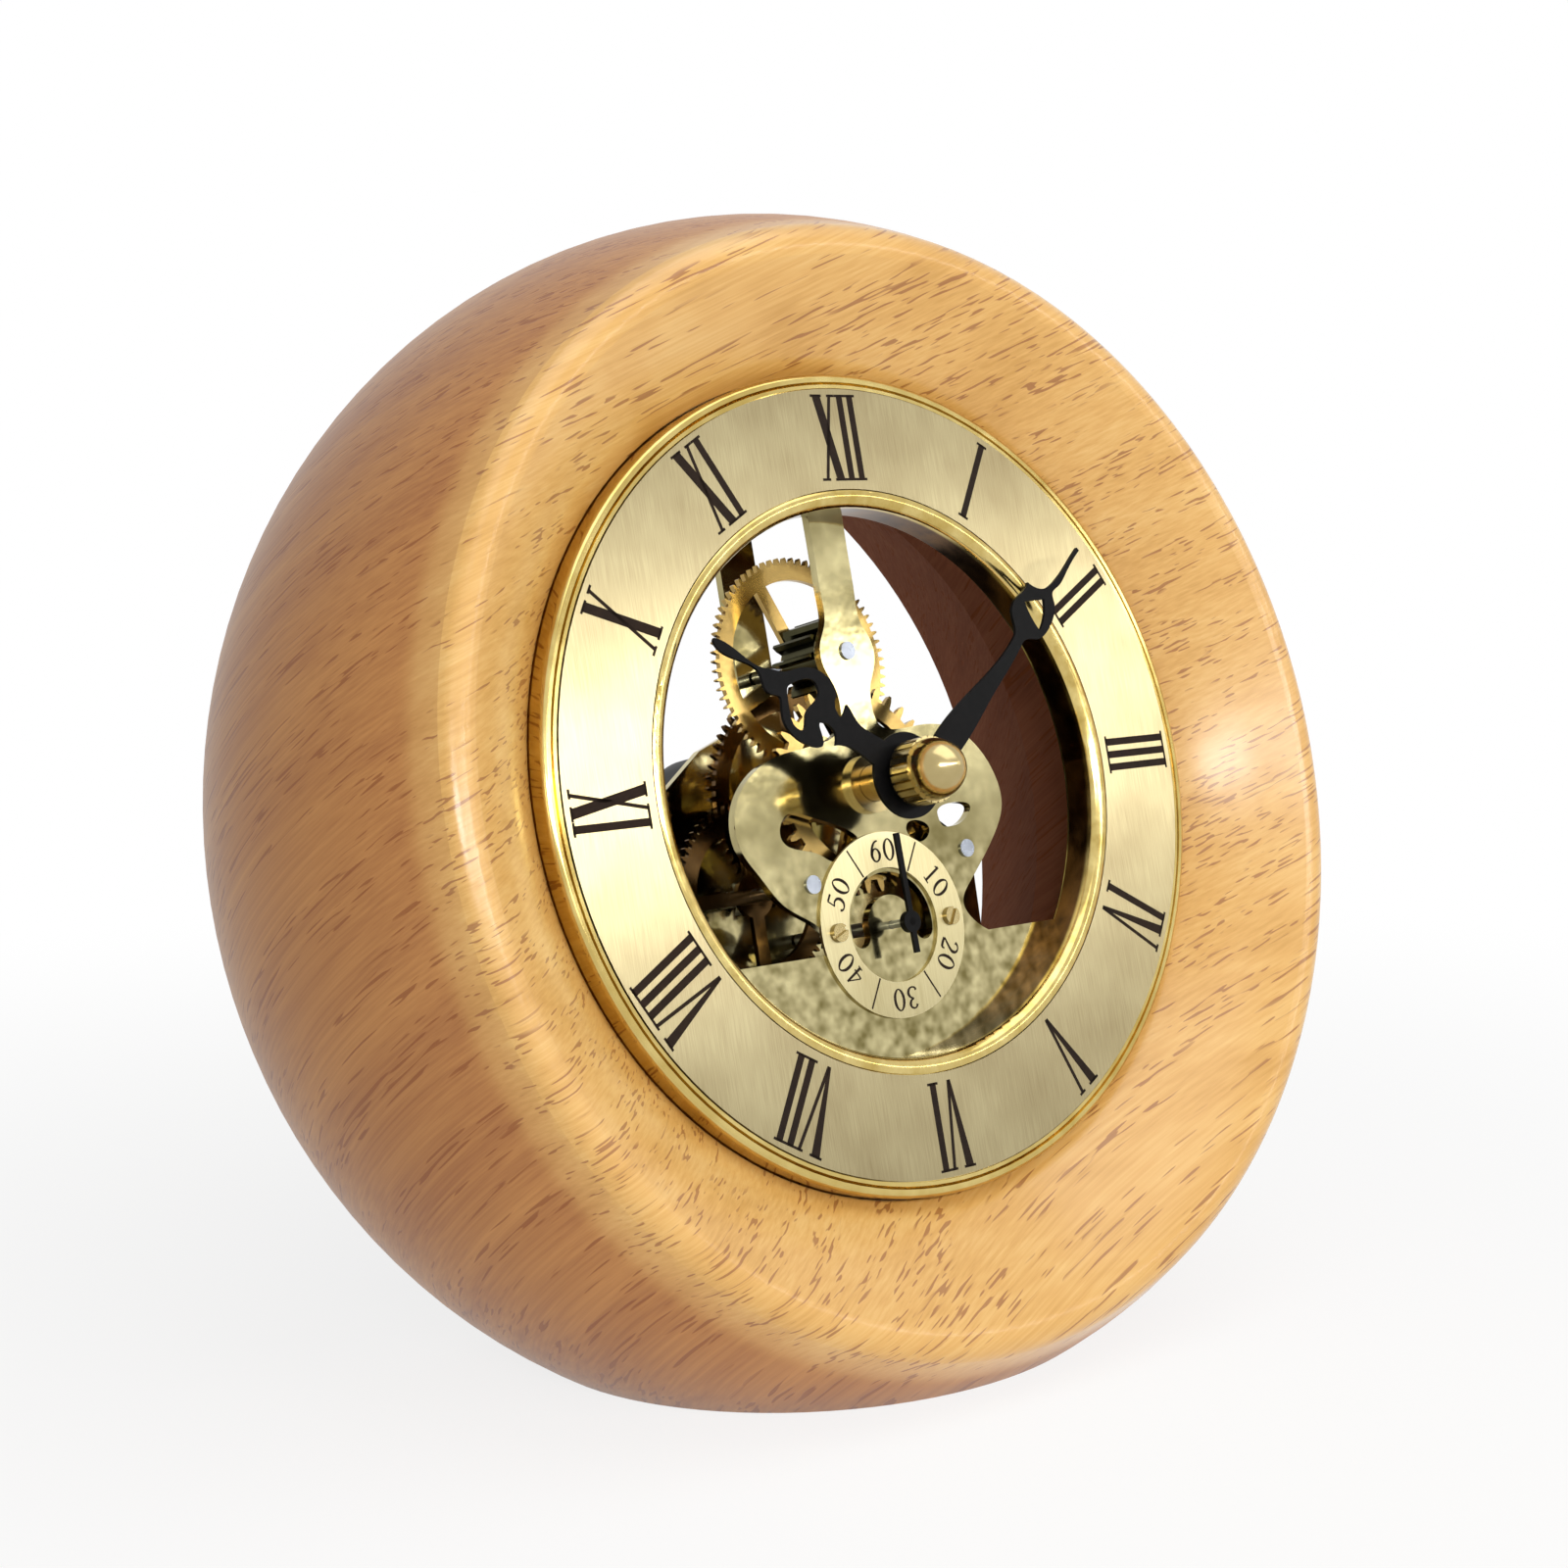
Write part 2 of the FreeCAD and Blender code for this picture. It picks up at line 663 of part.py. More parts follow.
def makeFrontPlate():
    bottom, top = frontBack, frontFace
    outer = rod(size("plateRadius"), bottom, top)
    window = rod(size("plateWindow"), bottom, top)
    ring = outer.cut(window)
    reach = size("plateRadius")
    lower = Part.makeBox(2 * reach, reach, size("plateThick"),
                         FreeCAD.Vector(-reach, -reach - size("segmentTop"), bottom))
    plate = ring.fuse(outer.common(lower)).fuse(slab(heartOutline(), bottom, top)).removeSplitter()
    horseshoe = arcSlot(secondsSpot, size("horseshoeInner"), size("horseshoeOuter"), *horseshoeEnds)
    slots = [closedCurve(shares, size("openingRadius")) for shares in slotShares]
    for slot in slots + [horseshoe]:
        plate = plate.cut(slab(slot, bottom, top))
    plate = plate.cut(rod(size("bushRadius"), bottom, top))
    plate = drillAll(plate, size("rivetRadius"), [motionSpot, thirdSpot], bottom, top)
    plate = drillAll(plate, size("pivotRadius") + size("runGap"), [secondsSpot], bottom, top)
    plate = drillAll(plate, size("screwShank"), pillarSpots(), bottom, top)
    plate = drillAll(plate, size("screwShank") + size("boreGap"), postSpots(), bottom, top)
    plate = drillAll(plate, size("secondsScrewShank") + size("boreGap"), secondsScrewSpots(), bottom, top)
    return addShape("front_plate", plate, dialPlace())


def makeRearPlate():
    bottom, top = rearBack, rearFace
    reach = size("plateRadius")
    half = size("rearStrapHalf")
    shoulder = [(across * reach, up * reach) for across, up in rearShoulderShares]
    right = [(half, reach), (half, shoulder[0][1] + half)] + shoulder
    foot = size("rearFoot")
    corners = right + [(foot, -foot), (-foot, -foot)] + [(-across, up) for across, up in right[::-1]]
    points = [FreeCAD.Vector(across, up, 0) for across, up in corners]
    shape = slab(Part.makePolygon(points + points[:1]), bottom, top)
    plate = shape.common(rod(reach, bottom, top))
    plate = drillAll(plate, size("centreRadius") + size("runGap"), [centreSpot], bottom, top)
    spots = [motionSpot, thirdSpot, secondsSpot]
    plate = drillAll(plate, size("pivotRadius") + size("runGap"), spots, bottom, top)
    plate = drillAll(plate, size("screwShank"), pillarSpots(), bottom, top)
    plate = drillAll(plate, size("screwShank") + size("boreGap"), housingScrewSpots(), bottom, top)
    return addShape("back_plate", plate, dialPlace())


def makePosts():
    # Three tubes riveted to the ring carry the front plate.
    top = -size("ringThick") - size("webThick")
    posts = []
    for spot in postSpots():
        post = rod(size("postRadius"), frontFace, top, spot)
        posts.append(post.cut(rod(size("screwShank") + size("boreGap"), frontFace, top, spot)))
    return addShape("ring_posts", Part.makeCompound(posts), dialPlace())


def slottedScrew(shankRadius, headRadius, headThick, headBase, shankEnd, spot, slotTurn):
    # A screw whose head lies on a face and points away from its shank.
    facing = 1 if headBase > shankEnd else -1
    headTop = headBase + facing * headThick
    head = rod(headRadius, min(headBase, headTop), max(headBase, headTop))
    shank = rod(shankRadius, min(headBase, shankEnd), max(headBase, shankEnd))
    wide = size("slotWide")
    deep = size("slotDeep")
    reach = headRadius + wide
    slot = Part.makeBox(2 * reach, wide, 2 * deep, FreeCAD.Vector(-reach, -wide / 2, headTop - deep))
    slot.rotate(centreSpot, outward, slotTurn)
    screw = head.fuse(shank).removeSplitter().cut(slot)
    screw.translate(spot)
    return screw


def makePostScrews():
    end = -size("ringThick") - size("webThick")
    screws = [slottedScrew(size("screwShank"), size("screwHead"), size("screwHeadThick"), frontBack,
                           end, spot, turn) for spot, turn in zip(postSpots(), postScrewTurns)]
    return addShape("post_screws", Part.makeCompound(screws), dialPlace())


def makePillars():
    # Turned pillars with collars, riveted through both plates.
    pillars = []
    for spot in pillarSpots():
        stud = rod(size("screwShank"), rearBack, frontFace, spot)
        column = rod(size("pillarRadius"), rearFace, frontBack, spot)
        upper = rod(size("collarRadius"), frontBack - size("collarLong"), frontBack, spot)
        lower = rod(size("collarRadius"), rearFace, rearFace + size("collarLong"), spot)
        pillars.append(stud.fuse([column, upper, lower]).removeSplitter())
    return addShape("plate_pillars", Part.makeCompound(pillars), dialPlace())


def makeRivets():
    # Bright bushes of the upper and left arbors, and the head of the pillar at the right.
    top = frontFace + size("rivetRise")
    hollowTop = frontFace - size("pivotDimple")
    bushes = []
    for spot in (motionSpot, thirdSpot):
        bush = rod(size("rivetRadius"), frontBack, top, spot)
        hollow = rod(size("pivotRadius") + size("runGap"), frontBack, hollowTop, spot)
        bushes.append(bush.cut(hollow))
    bushes.append(rod(size("rivetRadius"), frontFace, top, rivetPillarSpot))
    return addShape("plate_rivets", Part.makeCompound(bushes), dialPlace())


def makeCentreBush():
    return turnedBody("centre_bush", [
        ("pipeRadius + runGap", "-plateFront + bushFlangeThick"),
        ("bushFlange", "-plateFront + bushFlangeThick"),
        ("bushFlange", "-plateFront"),
        ("bushRadius", "-plateFront"),
        ("bushRadius", "-plateFront - plateThick"),
        ("pipeRadius + runGap", "-plateFront - plateThick"),
    ])


# Seconds dial
def secondsScrewSpots():
    out = FreeCAD.Vector(size("secondsScrewOut"), 0, 0)
    return [secondsSpot - out, secondsSpot + out]


def makeSecondsDial():
    top = frontFace + size("secondsThick")
    dial = rod(size("secondsOuter"), frontFace, top, secondsSpot)
    dial = dial.cut(rod(size("secondsInner"), frontFace, top, secondsSpot))
    radius = size("secondsScrewShank") + size("boreGap")
    dial = drillAll(dial, radius, secondsScrewSpots(), frontFace, top)
    return addShape("seconds_dial", dial, dialPlace())


def makeSecondsScrews():
    base = frontFace + size("secondsThick")
    thick = size("secondsThick") + size("slotDeep")
    screws = [slottedScrew(size("secondsScrewShank"), size("secondsScrewHead"), thick,
                           base, frontBack, spot, turn)
              for spot, turn in zip(secondsScrewSpots(), secondsScrewTurns)]
    return addShape("seconds_dial_screws", Part.makeCompound(screws), dialPlace())


# Gear train
def makeCentreArbor():
    # From the setting knob at the back to the thread that the cap nut screws on to.
    end = "-plateFront - plateThick - plateGap - plateThick - housingDeep - playGap - knobThick"
    return turnedBody("centre_arbor", [
        ("0", "nutKnurlTop"),
        ("handSeat", "nutKnurlTop"),
        ("handSeat", "minuteHandFront - handThick"),
        ("centreRadius", "minuteHandFront - handThick"),
        ("centreRadius", end),
        ("0", end),
    ])


def makeCentreGears():
    bore = size("centreRadius")
    level = -size("centreWheelDepth")
    wheel = spokedWheel(centreTeeth, size("trainModule"), centrePhase, level, bore)
    hub = rod(size("hubRadius"), level - size("wheelThick") - size("leafLong"), level - size("wheelThick"))
    hub = hub.cut(rod(bore, level - size("wheelThick") - size("leafLong"), level))
    addShape("centre_wheel", wheel.fuse(hub).removeSplitter(), dialPlace())
    middle = -size("motionWheelDepth") - size("wheelThick") / 2
    half = size("leafLong") / 2
    leaves = pinion(centreLeaves, size("motionModule"), centreLeafPhase, middle - half, middle + half, bore)
    addShape("centre_pinion", leaves, dialPlace())


def makeMotionGears():
    arborEnds = [
        ("0", "-plateFront - pivotSink"),
        ("pivotRadius", "-plateFront - pivotSink"),
        ("pivotRadius", "-plateFront - plateThick - playGap"),
        ("arborRadius", "-plateFront - plateThick - playGap"),
        ("arborRadius", "-plateFront - plateThick - plateGap + playGap"),
        ("pivotRadius", "-plateFront - plateThick - plateGap + playGap"),
        ("pivotRadius", "-plateFront - plateThick - plateGap - plateThick"),
        ("0", "-plateFront - plateThick - plateGap - plateThick"),
    ]
    turnedBody("motion_arbor", arborEnds, motionSpot)
    turnedBody("third_arbor", arborEnds, thirdSpot)
    bore = size("arborRadius")
    level = -size("motionWheelDepth")
    wheel = spokedWheel(motionTeeth, size("motionModule"), motionPhase, level, bore)
    addShape("motion_wheel", wheel, dialPlace(motionSpot))
    drumTop = frontBack - size("playGap")
    drum = pinion(drumLeaves, size("hourModule"), drumPhase, level, drumTop, bore)
    addShape("motion_pinion", drum, dialPlace(motionSpot))


def makeThirdGears():
    bore = size("arborRadius")
    level = -size("thirdWheelDepth")
    wheel = spokedWheel(thirdTeeth, size("fineModule"), thirdPhase, level, bore)
    addShape("third_wheel", wheel, dialPlace(thirdSpot))
    middle = -size("centreWheelDepth") - size("wheelThick") / 2
    half = size("leafLong") / 2
    leaves = pinion(thirdLeaves, size("trainModule"), thirdLeafPhase, middle - half, middle + half, bore)
    addShape("third_pinion", leaves, dialPlace(thirdSpot))


def makeSecondsArbor():
    turnedBody("seconds_arbor", [
        ("0", "-secondsHandDepth"),
        ("pivotRadius", "-secondsHandDepth"),
        ("pivotRadius", "-plateFront - plateThick - playGap"),
        ("arborRadius", "-plateFront - plateThick - playGap"),
        ("arborRadius", "-plateFront - plateThick - plateGap + playGap"),
        ("pivotRadius", "-plateFront - plateThick - plateGap + playGap"),
        ("pivotRadius", "-plateFront - plateThick - plateGap - plateThick"),
        ("0", "-plateFront - plateThick - plateGap - plateThick"),
    ], secondsSpot)
    middle = -size("thirdWheelDepth") - size("wheelThick") / 2
    half = size("leafLong") / 2
    leaves = pinion(secondsLeaves, size("fineModule"), secondsLeafPhase, middle - half, middle + half,
                    size("arborRadius"))
    addShape("seconds_pinion", leaves, dialPlace(secondsSpot))


def makeHourWheel():
    # The wheel and the pipe that carries the hour hand, running free on the centre arbor.
    level = -size("hourWheelDepth")
    bore = size("centreRadius") + size("runGap")
    thick = size("wheelThick")
    wheel = spokedWheel(hourTeeth, size("hourModule"), hourPhase, level, bore)
    pipeTop = size("hourHandFront")
    pipe = rod(size("pipeRadius"), level - thick, pipeTop).cut(rod(bore, level - thick, pipeTop))
    return addShape("hour_wheel", wheel.fuse(pipe).removeSplitter(), dialPlace())


# Hands, drawn pointing to 12 as shares of their reach
minuteShares = [
    [(-0.010, 0.08), (-0.016, 0.281), (0.004, 0.458), (0.001, 0.60)],
    [(0.001, 0.60), (-0.012, 0.616), (-0.048, 0.640), (-0.066, 0.680), (-0.062, 0.724), (-0.066, 0.762)],
    [(-0.066, 0.762), (-0.038, 0.772), (-0.010, 0.799), (0.002, 0.846), (0.003, 0.902), (-0.003, 1.0)],
    [(-0.003, 1.0), (0.009, 1.0)],
    [(0.009, 1.0), (0.018, 0.901), (0.022, 0.846), (0.020, 0.812), (0.045, 0.794), (0.070, 0.755),
     (0.079, 0.703), (0.070, 0.660), (0.045, 0.632), (0.037, 0.595)],
    [(0.037, 0.595), (0.048, 0.505), (0.056, 0.391), (0.066, 0.304), (0.066, 0.08)],
    [(0.066, 0.08), (-0.010, 0.08)],
]
minuteHoleShares = [
    [(-0.038, 0.706), (0.009, 0.772)],
    [(0.009, 0.772), (0.038, 0.740), (0.058, 0.684)],
    [(0.058, 0.684), (0.010, 0.690), (-0.038, 0.706)],
]
hourShares = [
    [(-0.036, 0.08), (-0.043, 0.217), (-0.048, 0.303), (-0.074, 0.352)],
    [(-0.074, 0.352), (-0.036, 0.367), (-0.018, 0.418)],
    [(-0.018, 0.418), (-0.040, 0.452), (-0.072, 0.424), (-0.105, 0.405), (-0.136, 0.455),
     (-0.143, 0.524), (-0.125, 0.585), (-0.084, 0.622), (-0.040, 0.653), (-0.053, 0.702),
     (-0.036, 0.738), (-0.008, 0.768), (-0.008, 0.852), (-0.006, 1.0)],
    [(-0.006, 1.0), (0.006, 1.0)],
    [(0.006, 1.0), (0.013, 0.861), (0.018, 0.769), (0.034, 0.730), (0.055, 0.680), (0.108, 0.619),
     (0.148, 0.536), (0.140, 0.470), (0.102, 0.425)],
    [(0.102, 0.425), (0.060, 0.412), (0.036, 0.370)],
    [(0.036, 0.370), (0.066, 0.364), (0.098, 0.366)],
    [(0.098, 0.366), (0.083, 0.335), (0.064, 0.300), (0.058, 0.217), (0.050, 0.08)],
    [(0.050, 0.08), (-0.036, 0.08)],
]
hourHoleShares = [
    (0.018, 0.636), (0.068, 0.598), (0.098, 0.535), (0.070, 0.500), (0.015, 0.508), (-0.040, 0.520),
    (-0.098, 0.508), (-0.108, 0.538), (-0.084, 0.580), (-0.038, 0.612),
]


def makeHourHand():
    top = size("hourHandFront")
    bottom = top - size("handThick")
    hand = slab(smoothOutline(hourShares, size("hourReach")), bottom, top)
    hand = hand.fuse(rod(size("hourHub"), bottom, top)).removeSplitter()
    hand = hand.cut(slab(closedCurve(hourHoleShares, size("hourReach")), bottom, top))
    hand = hand.cut(rod(size("pipeRadius"), bottom, top))
    return addShape("hour_hand", hand, dialPlace(centreSpot, hourAngle))


def makeMinuteHand():
    top = size("minuteHandFront")
    bottom = top - size("handThick")
    hand = slab(smoothOutline(minuteShares, size("minuteReach")), bottom, top)
    hand = hand.fuse(rod(size("minuteHub"), bottom, top)).removeSplitter()
    hand = hand.cut(slab(smoothOutline(minuteHoleShares, size("minuteReach")), bottom, top))
    hand = hand.cut(rod(size("handSeat"), bottom, top))
    return addShape("minute_hand", hand, dialPlace(centreSpot, minuteAngle))


def makeSecondsHand():
    top = -size("secondsHandDepth")
    bottom = top - size("handThick")
    half = size("secondsWide") / 2
    reach = size("secondsReach")
    tail = size("secondsTail")
    corners = [(-half, -tail), (half, -tail), (half, 0), (half, reach), (-half, reach), (-half, 0)]
    points = [FreeCAD.Vector(across, up, 0) for across, up in corners]
    hand = slab(Part.makePolygon(points + points[:1]), bottom, top)
    hand = hand.fuse(rod(size("secondsHub"), bottom - size("handThick"), top)).removeSplitter()
    hand = hand.cut(rod(size("pivotRadius"), bottom - size("handThick"), top))
    return addShape("seconds_hand", hand, dialPlace(secondsSpot, secondsAngle))


def makeCapNut():
    # A knurled foot under a pointed dome.
    nut = turnedBody("cap_nut", [
        ("handSeat", "minuteHandFront"),
        ("nutRadius", "minuteHandFront"),
        ("nutRadius", "nutKnurlTop"),
        ("nutNeck", "nutKnurlTop", "-nutDome"),
        ("nutTip", "nutTop"),
        ("0", "nutTop"),
        ("0", "nutKnurlTop"),
        ("handSeat", "nutKnurlTop"),
    ])
    sketch = addSketch(nut, "KnurlNotch", "XY_Plane")
    radius = "nutRadius"
    addProfile(sketch, [
        (radius + " - knurlDeep", "0"),
        (radius + " + knurlDeep", "knurlDeep"),
        (radius + " + knurlDeep", "-knurlDeep"),
    ])
    notch = nut.newObject("PartDesign::Pocket", "KnurlCut")
    notch.Profile = sketch
    notch.Reversed = True
    notch.setExpression("Length", formula("nutKnurlTop + overrun"))
    nut.Tip = notch
    doc.recompute()
    around = nut.newObject("PartDesign::PolarPattern", "Knurling")
    around.Originals = [notch]
    around.Axis = (sketch, ["N_Axis"])
    around.Angle = 360
    around.Occurrences = knurlCuts
    nut.Tip = around
    doc.recompute()
    return nut


# Drive housing at the back
def housingLevels():
    return rearBack - size("housingDeep"), rearBack


def bayCentre():
    floor = -size("housingFall") + size("baySkin") + size("batteryGap")
    return FreeCAD.Vector(0, floor + size("batteryRadius"), 0)


def batteryLevel():
    return housingLevels()[1] - size("baySkin") - size("batteryGap") - size("batteryRadius")


def housingScrewSpots():
    out = size("housingWide") / 2 - size("housingRound") - size("baySkin")
    return [FreeCAD.Vector(side * out, -size("housingScrewDrop"), 0) for side in (-1, 1)]


def makeHousing():
    bottom, top = housingLevels()
    wide = size("housingWide")
    tall = size("housingFall") - size("housingShoulder")
    block = Part.makeBox(wide, tall, top - bottom, FreeCAD.Vector(-wide / 2, -size("housingFall"), bottom))
    corners = [edge for edge in block.Edges if edge.BoundBox.ZLength > size("housingRound")]
    block = block.makeFillet(size("housingRound"), corners)
    block = block.fuse(rod(size("housingRise"), bottom, top)).removeSplitter()
    bayRadius = size("batteryRadius") + size("batteryGap")
    bay = Part.makeBox(size("bayLong"), 2 * bayRadius, size("housingDeep") - size("baySkin"),
                       FreeCAD.Vector(-size("bayLong") / 2, bayCentre().y - bayRadius, bottom))
    block = block.cut(bay)
    block = block.cut(rod(size("centreRadius") + size("playGap"), bottom, top))
    hole = size("screwShank") + size("boreGap")
    block = drillAll(block, hole, housingScrewSpots(), top - size("housingScrewBite"), top)
    return addShape("drive_housing", block, dialPlace())


def makeHousingScrews():
    end = rearBack - size("housingScrewBite")
    screws = [slottedScrew(size("screwShank"), size("screwHead"), size("screwHeadThick"), rearFace,
                           end, spot, turn)
              for spot, turn in zip(housingScrewSpots(), housingScrewTurns)]
    return addShape("housing_screws", Part.makeCompound(screws), dialPlace())


def makeBattery():
    long = size("batteryLong")
    centre = bayCentre() + FreeCAD.Vector(-(long + size("nubLong")) / 2, 0, batteryLevel())
    sideways = FreeCAD.Vector(1, 0, 0)
    cell = Part.makeCylinder(size("batteryRadius"), long, centre, sideways)
    nub = Part.makeCylinder(size("nubRadius"), long + size("nubLong"), centre, sideways)
    return addShape("battery", cell.fuse(nub).removeSplitter(), dialPlace())


def makeContacts():
    # A flat spring strip at each end of the bay, between the cell and the bay's end wall.
    long = size("batteryLong") + size("nubLong")
    end = size("bayLong") / 2
    wide = size("contactWide")
    strips = []
    for side in (-1, 1):
        inner = side * long / 2
        outer = side * end
        corner = FreeCAD.Vector(min(inner, outer), bayCentre().y - wide / 2, batteryLevel() - wide / 2)
        strips.append(Part.makeBox(abs(outer - inner), wide, wide, corner))
    return addShape("battery_contacts", Part.makeCompound(strips), dialPlace())


def makeKnob():
    bottom = housingLevels()[0] - size("playGap") - size("knobThick")
    top = housingLevels()[0] - size("playGap")
    knob = rod(size("knobRadius"), bottom, top).cut(rod(size("centreRadius"), bottom, top))
    for cut in range(knurlCuts):
        notch = rod(size("knurlDeep"), bottom, top, aroundPoint(size("knobRadius"), cut * 360 / knurlCuts))
        knob = knob.cut(notch)
    return addShape("setting_knob", knob, dialPlace())


makeCase()
makeBezel()
makeBand()
makeChapterRing()
makeTrimRing()
makeFrontPlate()
makeRearPlate()
makePosts()
makePostScrews()
makePillars()
makeRivets()
makeCentreBush()
makeSecondsDial()
makeSecondsScrews()
makeCentreArbor()
makeCentreGears()
makeMotionGears()
makeThirdGears()
makeSecondsArbor()
makeHourWheel()
makeHourHand()
makeMinuteHand()
makeSecondsHand()
makeCapNut()
makeHousing()
makeHousingScrews()
makeBattery()
makeContacts()
makeKnob()

nodes = [
    "wood_case", "bezel_ring", "retaining_band", "chapter_ring", "inner_trim_ring", "front_plate",
    "back_plate", "ring_posts", "post_screws", "plate_pillars", "plate_rivets", "centre_bush",
    "seconds_dial", "seconds_dial_screws", "centre_arbor", "centre_wheel", "centre_pinion",
    "motion_arbor", "motion_wheel", "motion_pinion", "third_arbor", "third_wheel", "third_pinion",
    "seconds_arbor", "seconds_pinion", "hour_wheel", "hour_hand", "minute_hand", "seconds_hand",
    "cap_nut", "drive_housing", "housing_screws", "battery", "battery_contacts", "setting_knob",
]

doc.recompute()
for item in doc.Objects:
    if "Invalid" in item.State or "Error" in item.State:
        raise RuntimeError(item.Label + " failed: " + ", ".join(item.State))
os.makedirs("parts", exist_ok=True)
for node in nodes:
    piece = doc.getObjectsByLabel(node)[0]
    if piece.Shape.isNull() or not piece.Shape.isValid():
        raise RuntimeError(node + " has no valid shape")
    piece.Shape.exportStep("parts/" + node + ".step")
    print(node, len(piece.Shape.Solids), "solid,", round(piece.Shape.Volume, 1), "cubic mm")
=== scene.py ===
import math

import bmesh
import bpy
from mathutils import Matrix, Vector


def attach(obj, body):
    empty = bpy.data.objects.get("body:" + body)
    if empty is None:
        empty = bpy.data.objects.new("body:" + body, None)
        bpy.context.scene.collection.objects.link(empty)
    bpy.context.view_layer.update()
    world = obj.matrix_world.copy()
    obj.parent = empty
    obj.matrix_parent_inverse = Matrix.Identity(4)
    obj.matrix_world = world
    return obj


# Wooden desk clock: turned beech case, brushed gold chapter ring, open brass gear train
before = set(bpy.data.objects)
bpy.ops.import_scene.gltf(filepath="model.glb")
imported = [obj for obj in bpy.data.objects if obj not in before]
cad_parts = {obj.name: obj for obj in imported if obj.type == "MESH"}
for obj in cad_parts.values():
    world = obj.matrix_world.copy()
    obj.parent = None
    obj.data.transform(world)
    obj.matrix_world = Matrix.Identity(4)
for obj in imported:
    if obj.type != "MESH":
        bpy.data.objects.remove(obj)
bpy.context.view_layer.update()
mm = 0.001

# The dial frame: across to the right, out of the numeral plane, and up from 6 to 12
dial = {
    "centre": Vector((0, -7.55, 72.5)) * mm,
    "tilt": math.radians(14.6),
}
acrossAxis = Vector((1, 0, 0))
outAxis = Vector((0, -math.cos(dial["tilt"]), math.sin(dial["tilt"])))
upAxis = Vector((0, math.sin(dial["tilt"]), math.cos(dial["tilt"])))


def dialPoint(across, out, up):
    # A place in the dial frame, in millimetres
    return dial["centre"] + (acrossAxis * across + outAxis * out + upAxis * up) * mm


# Camera: angles in degrees, distance and shifts in millimetres, clip start in metres
cameraView = {
    "azimuth": -39.26,
    "elevation": 7.53,
    "distance": 329.0,
    "shiftAcross": 13.70,
    "shiftUp": 0.72,
    "lens": 61.0,
    "sensor": 36,
    "clipStart": 0.01,
}


def addCamera():
    turn = math.radians(cameraView["azimuth"])
    rise = math.radians(cameraView["elevation"])
    right = Vector((math.cos(turn), math.sin(turn), 0))
    back = Vector((math.sin(turn) * math.cos(rise), -math.cos(turn) * math.cos(rise), math.sin(rise)))
    up = back.cross(right)
    place = dial["centre"] + back * cameraView["distance"] * mm
    place -= right * cameraView["shiftAcross"] * mm + up * cameraView["shiftUp"] * mm
    lens = bpy.data.cameras.new("clockView")
    lens.sensor_fit = "HORIZONTAL"
    lens.sensor_width = cameraView["sensor"]
    lens.lens = cameraView["lens"]
    lens.clip_start = cameraView["clipStart"]
    camera = bpy.data.objects.new("clockView", lens)
    bpy.context.scene.collection.objects.link(camera)
    turned = Matrix((right, up, back)).transposed().to_4x4()
    camera.matrix_world = Matrix.Translation(place) @ turned
    bpy.context.scene.camera = camera


addCamera()
print("camera placed")


# Materials
def paint(code):
    # A colour in six hex digits, turned by the sRGB curve into the linear values of a shader
    parts = [int(code[spot:spot + 2], 16) / 255 for spot in (0, 2, 4)]
    linear = [part / 12.92 if part <= 0.04045 else ((part + 0.055) / 1.055) ** 2.4 for part in parts]
    return tuple(linear) + (1,)


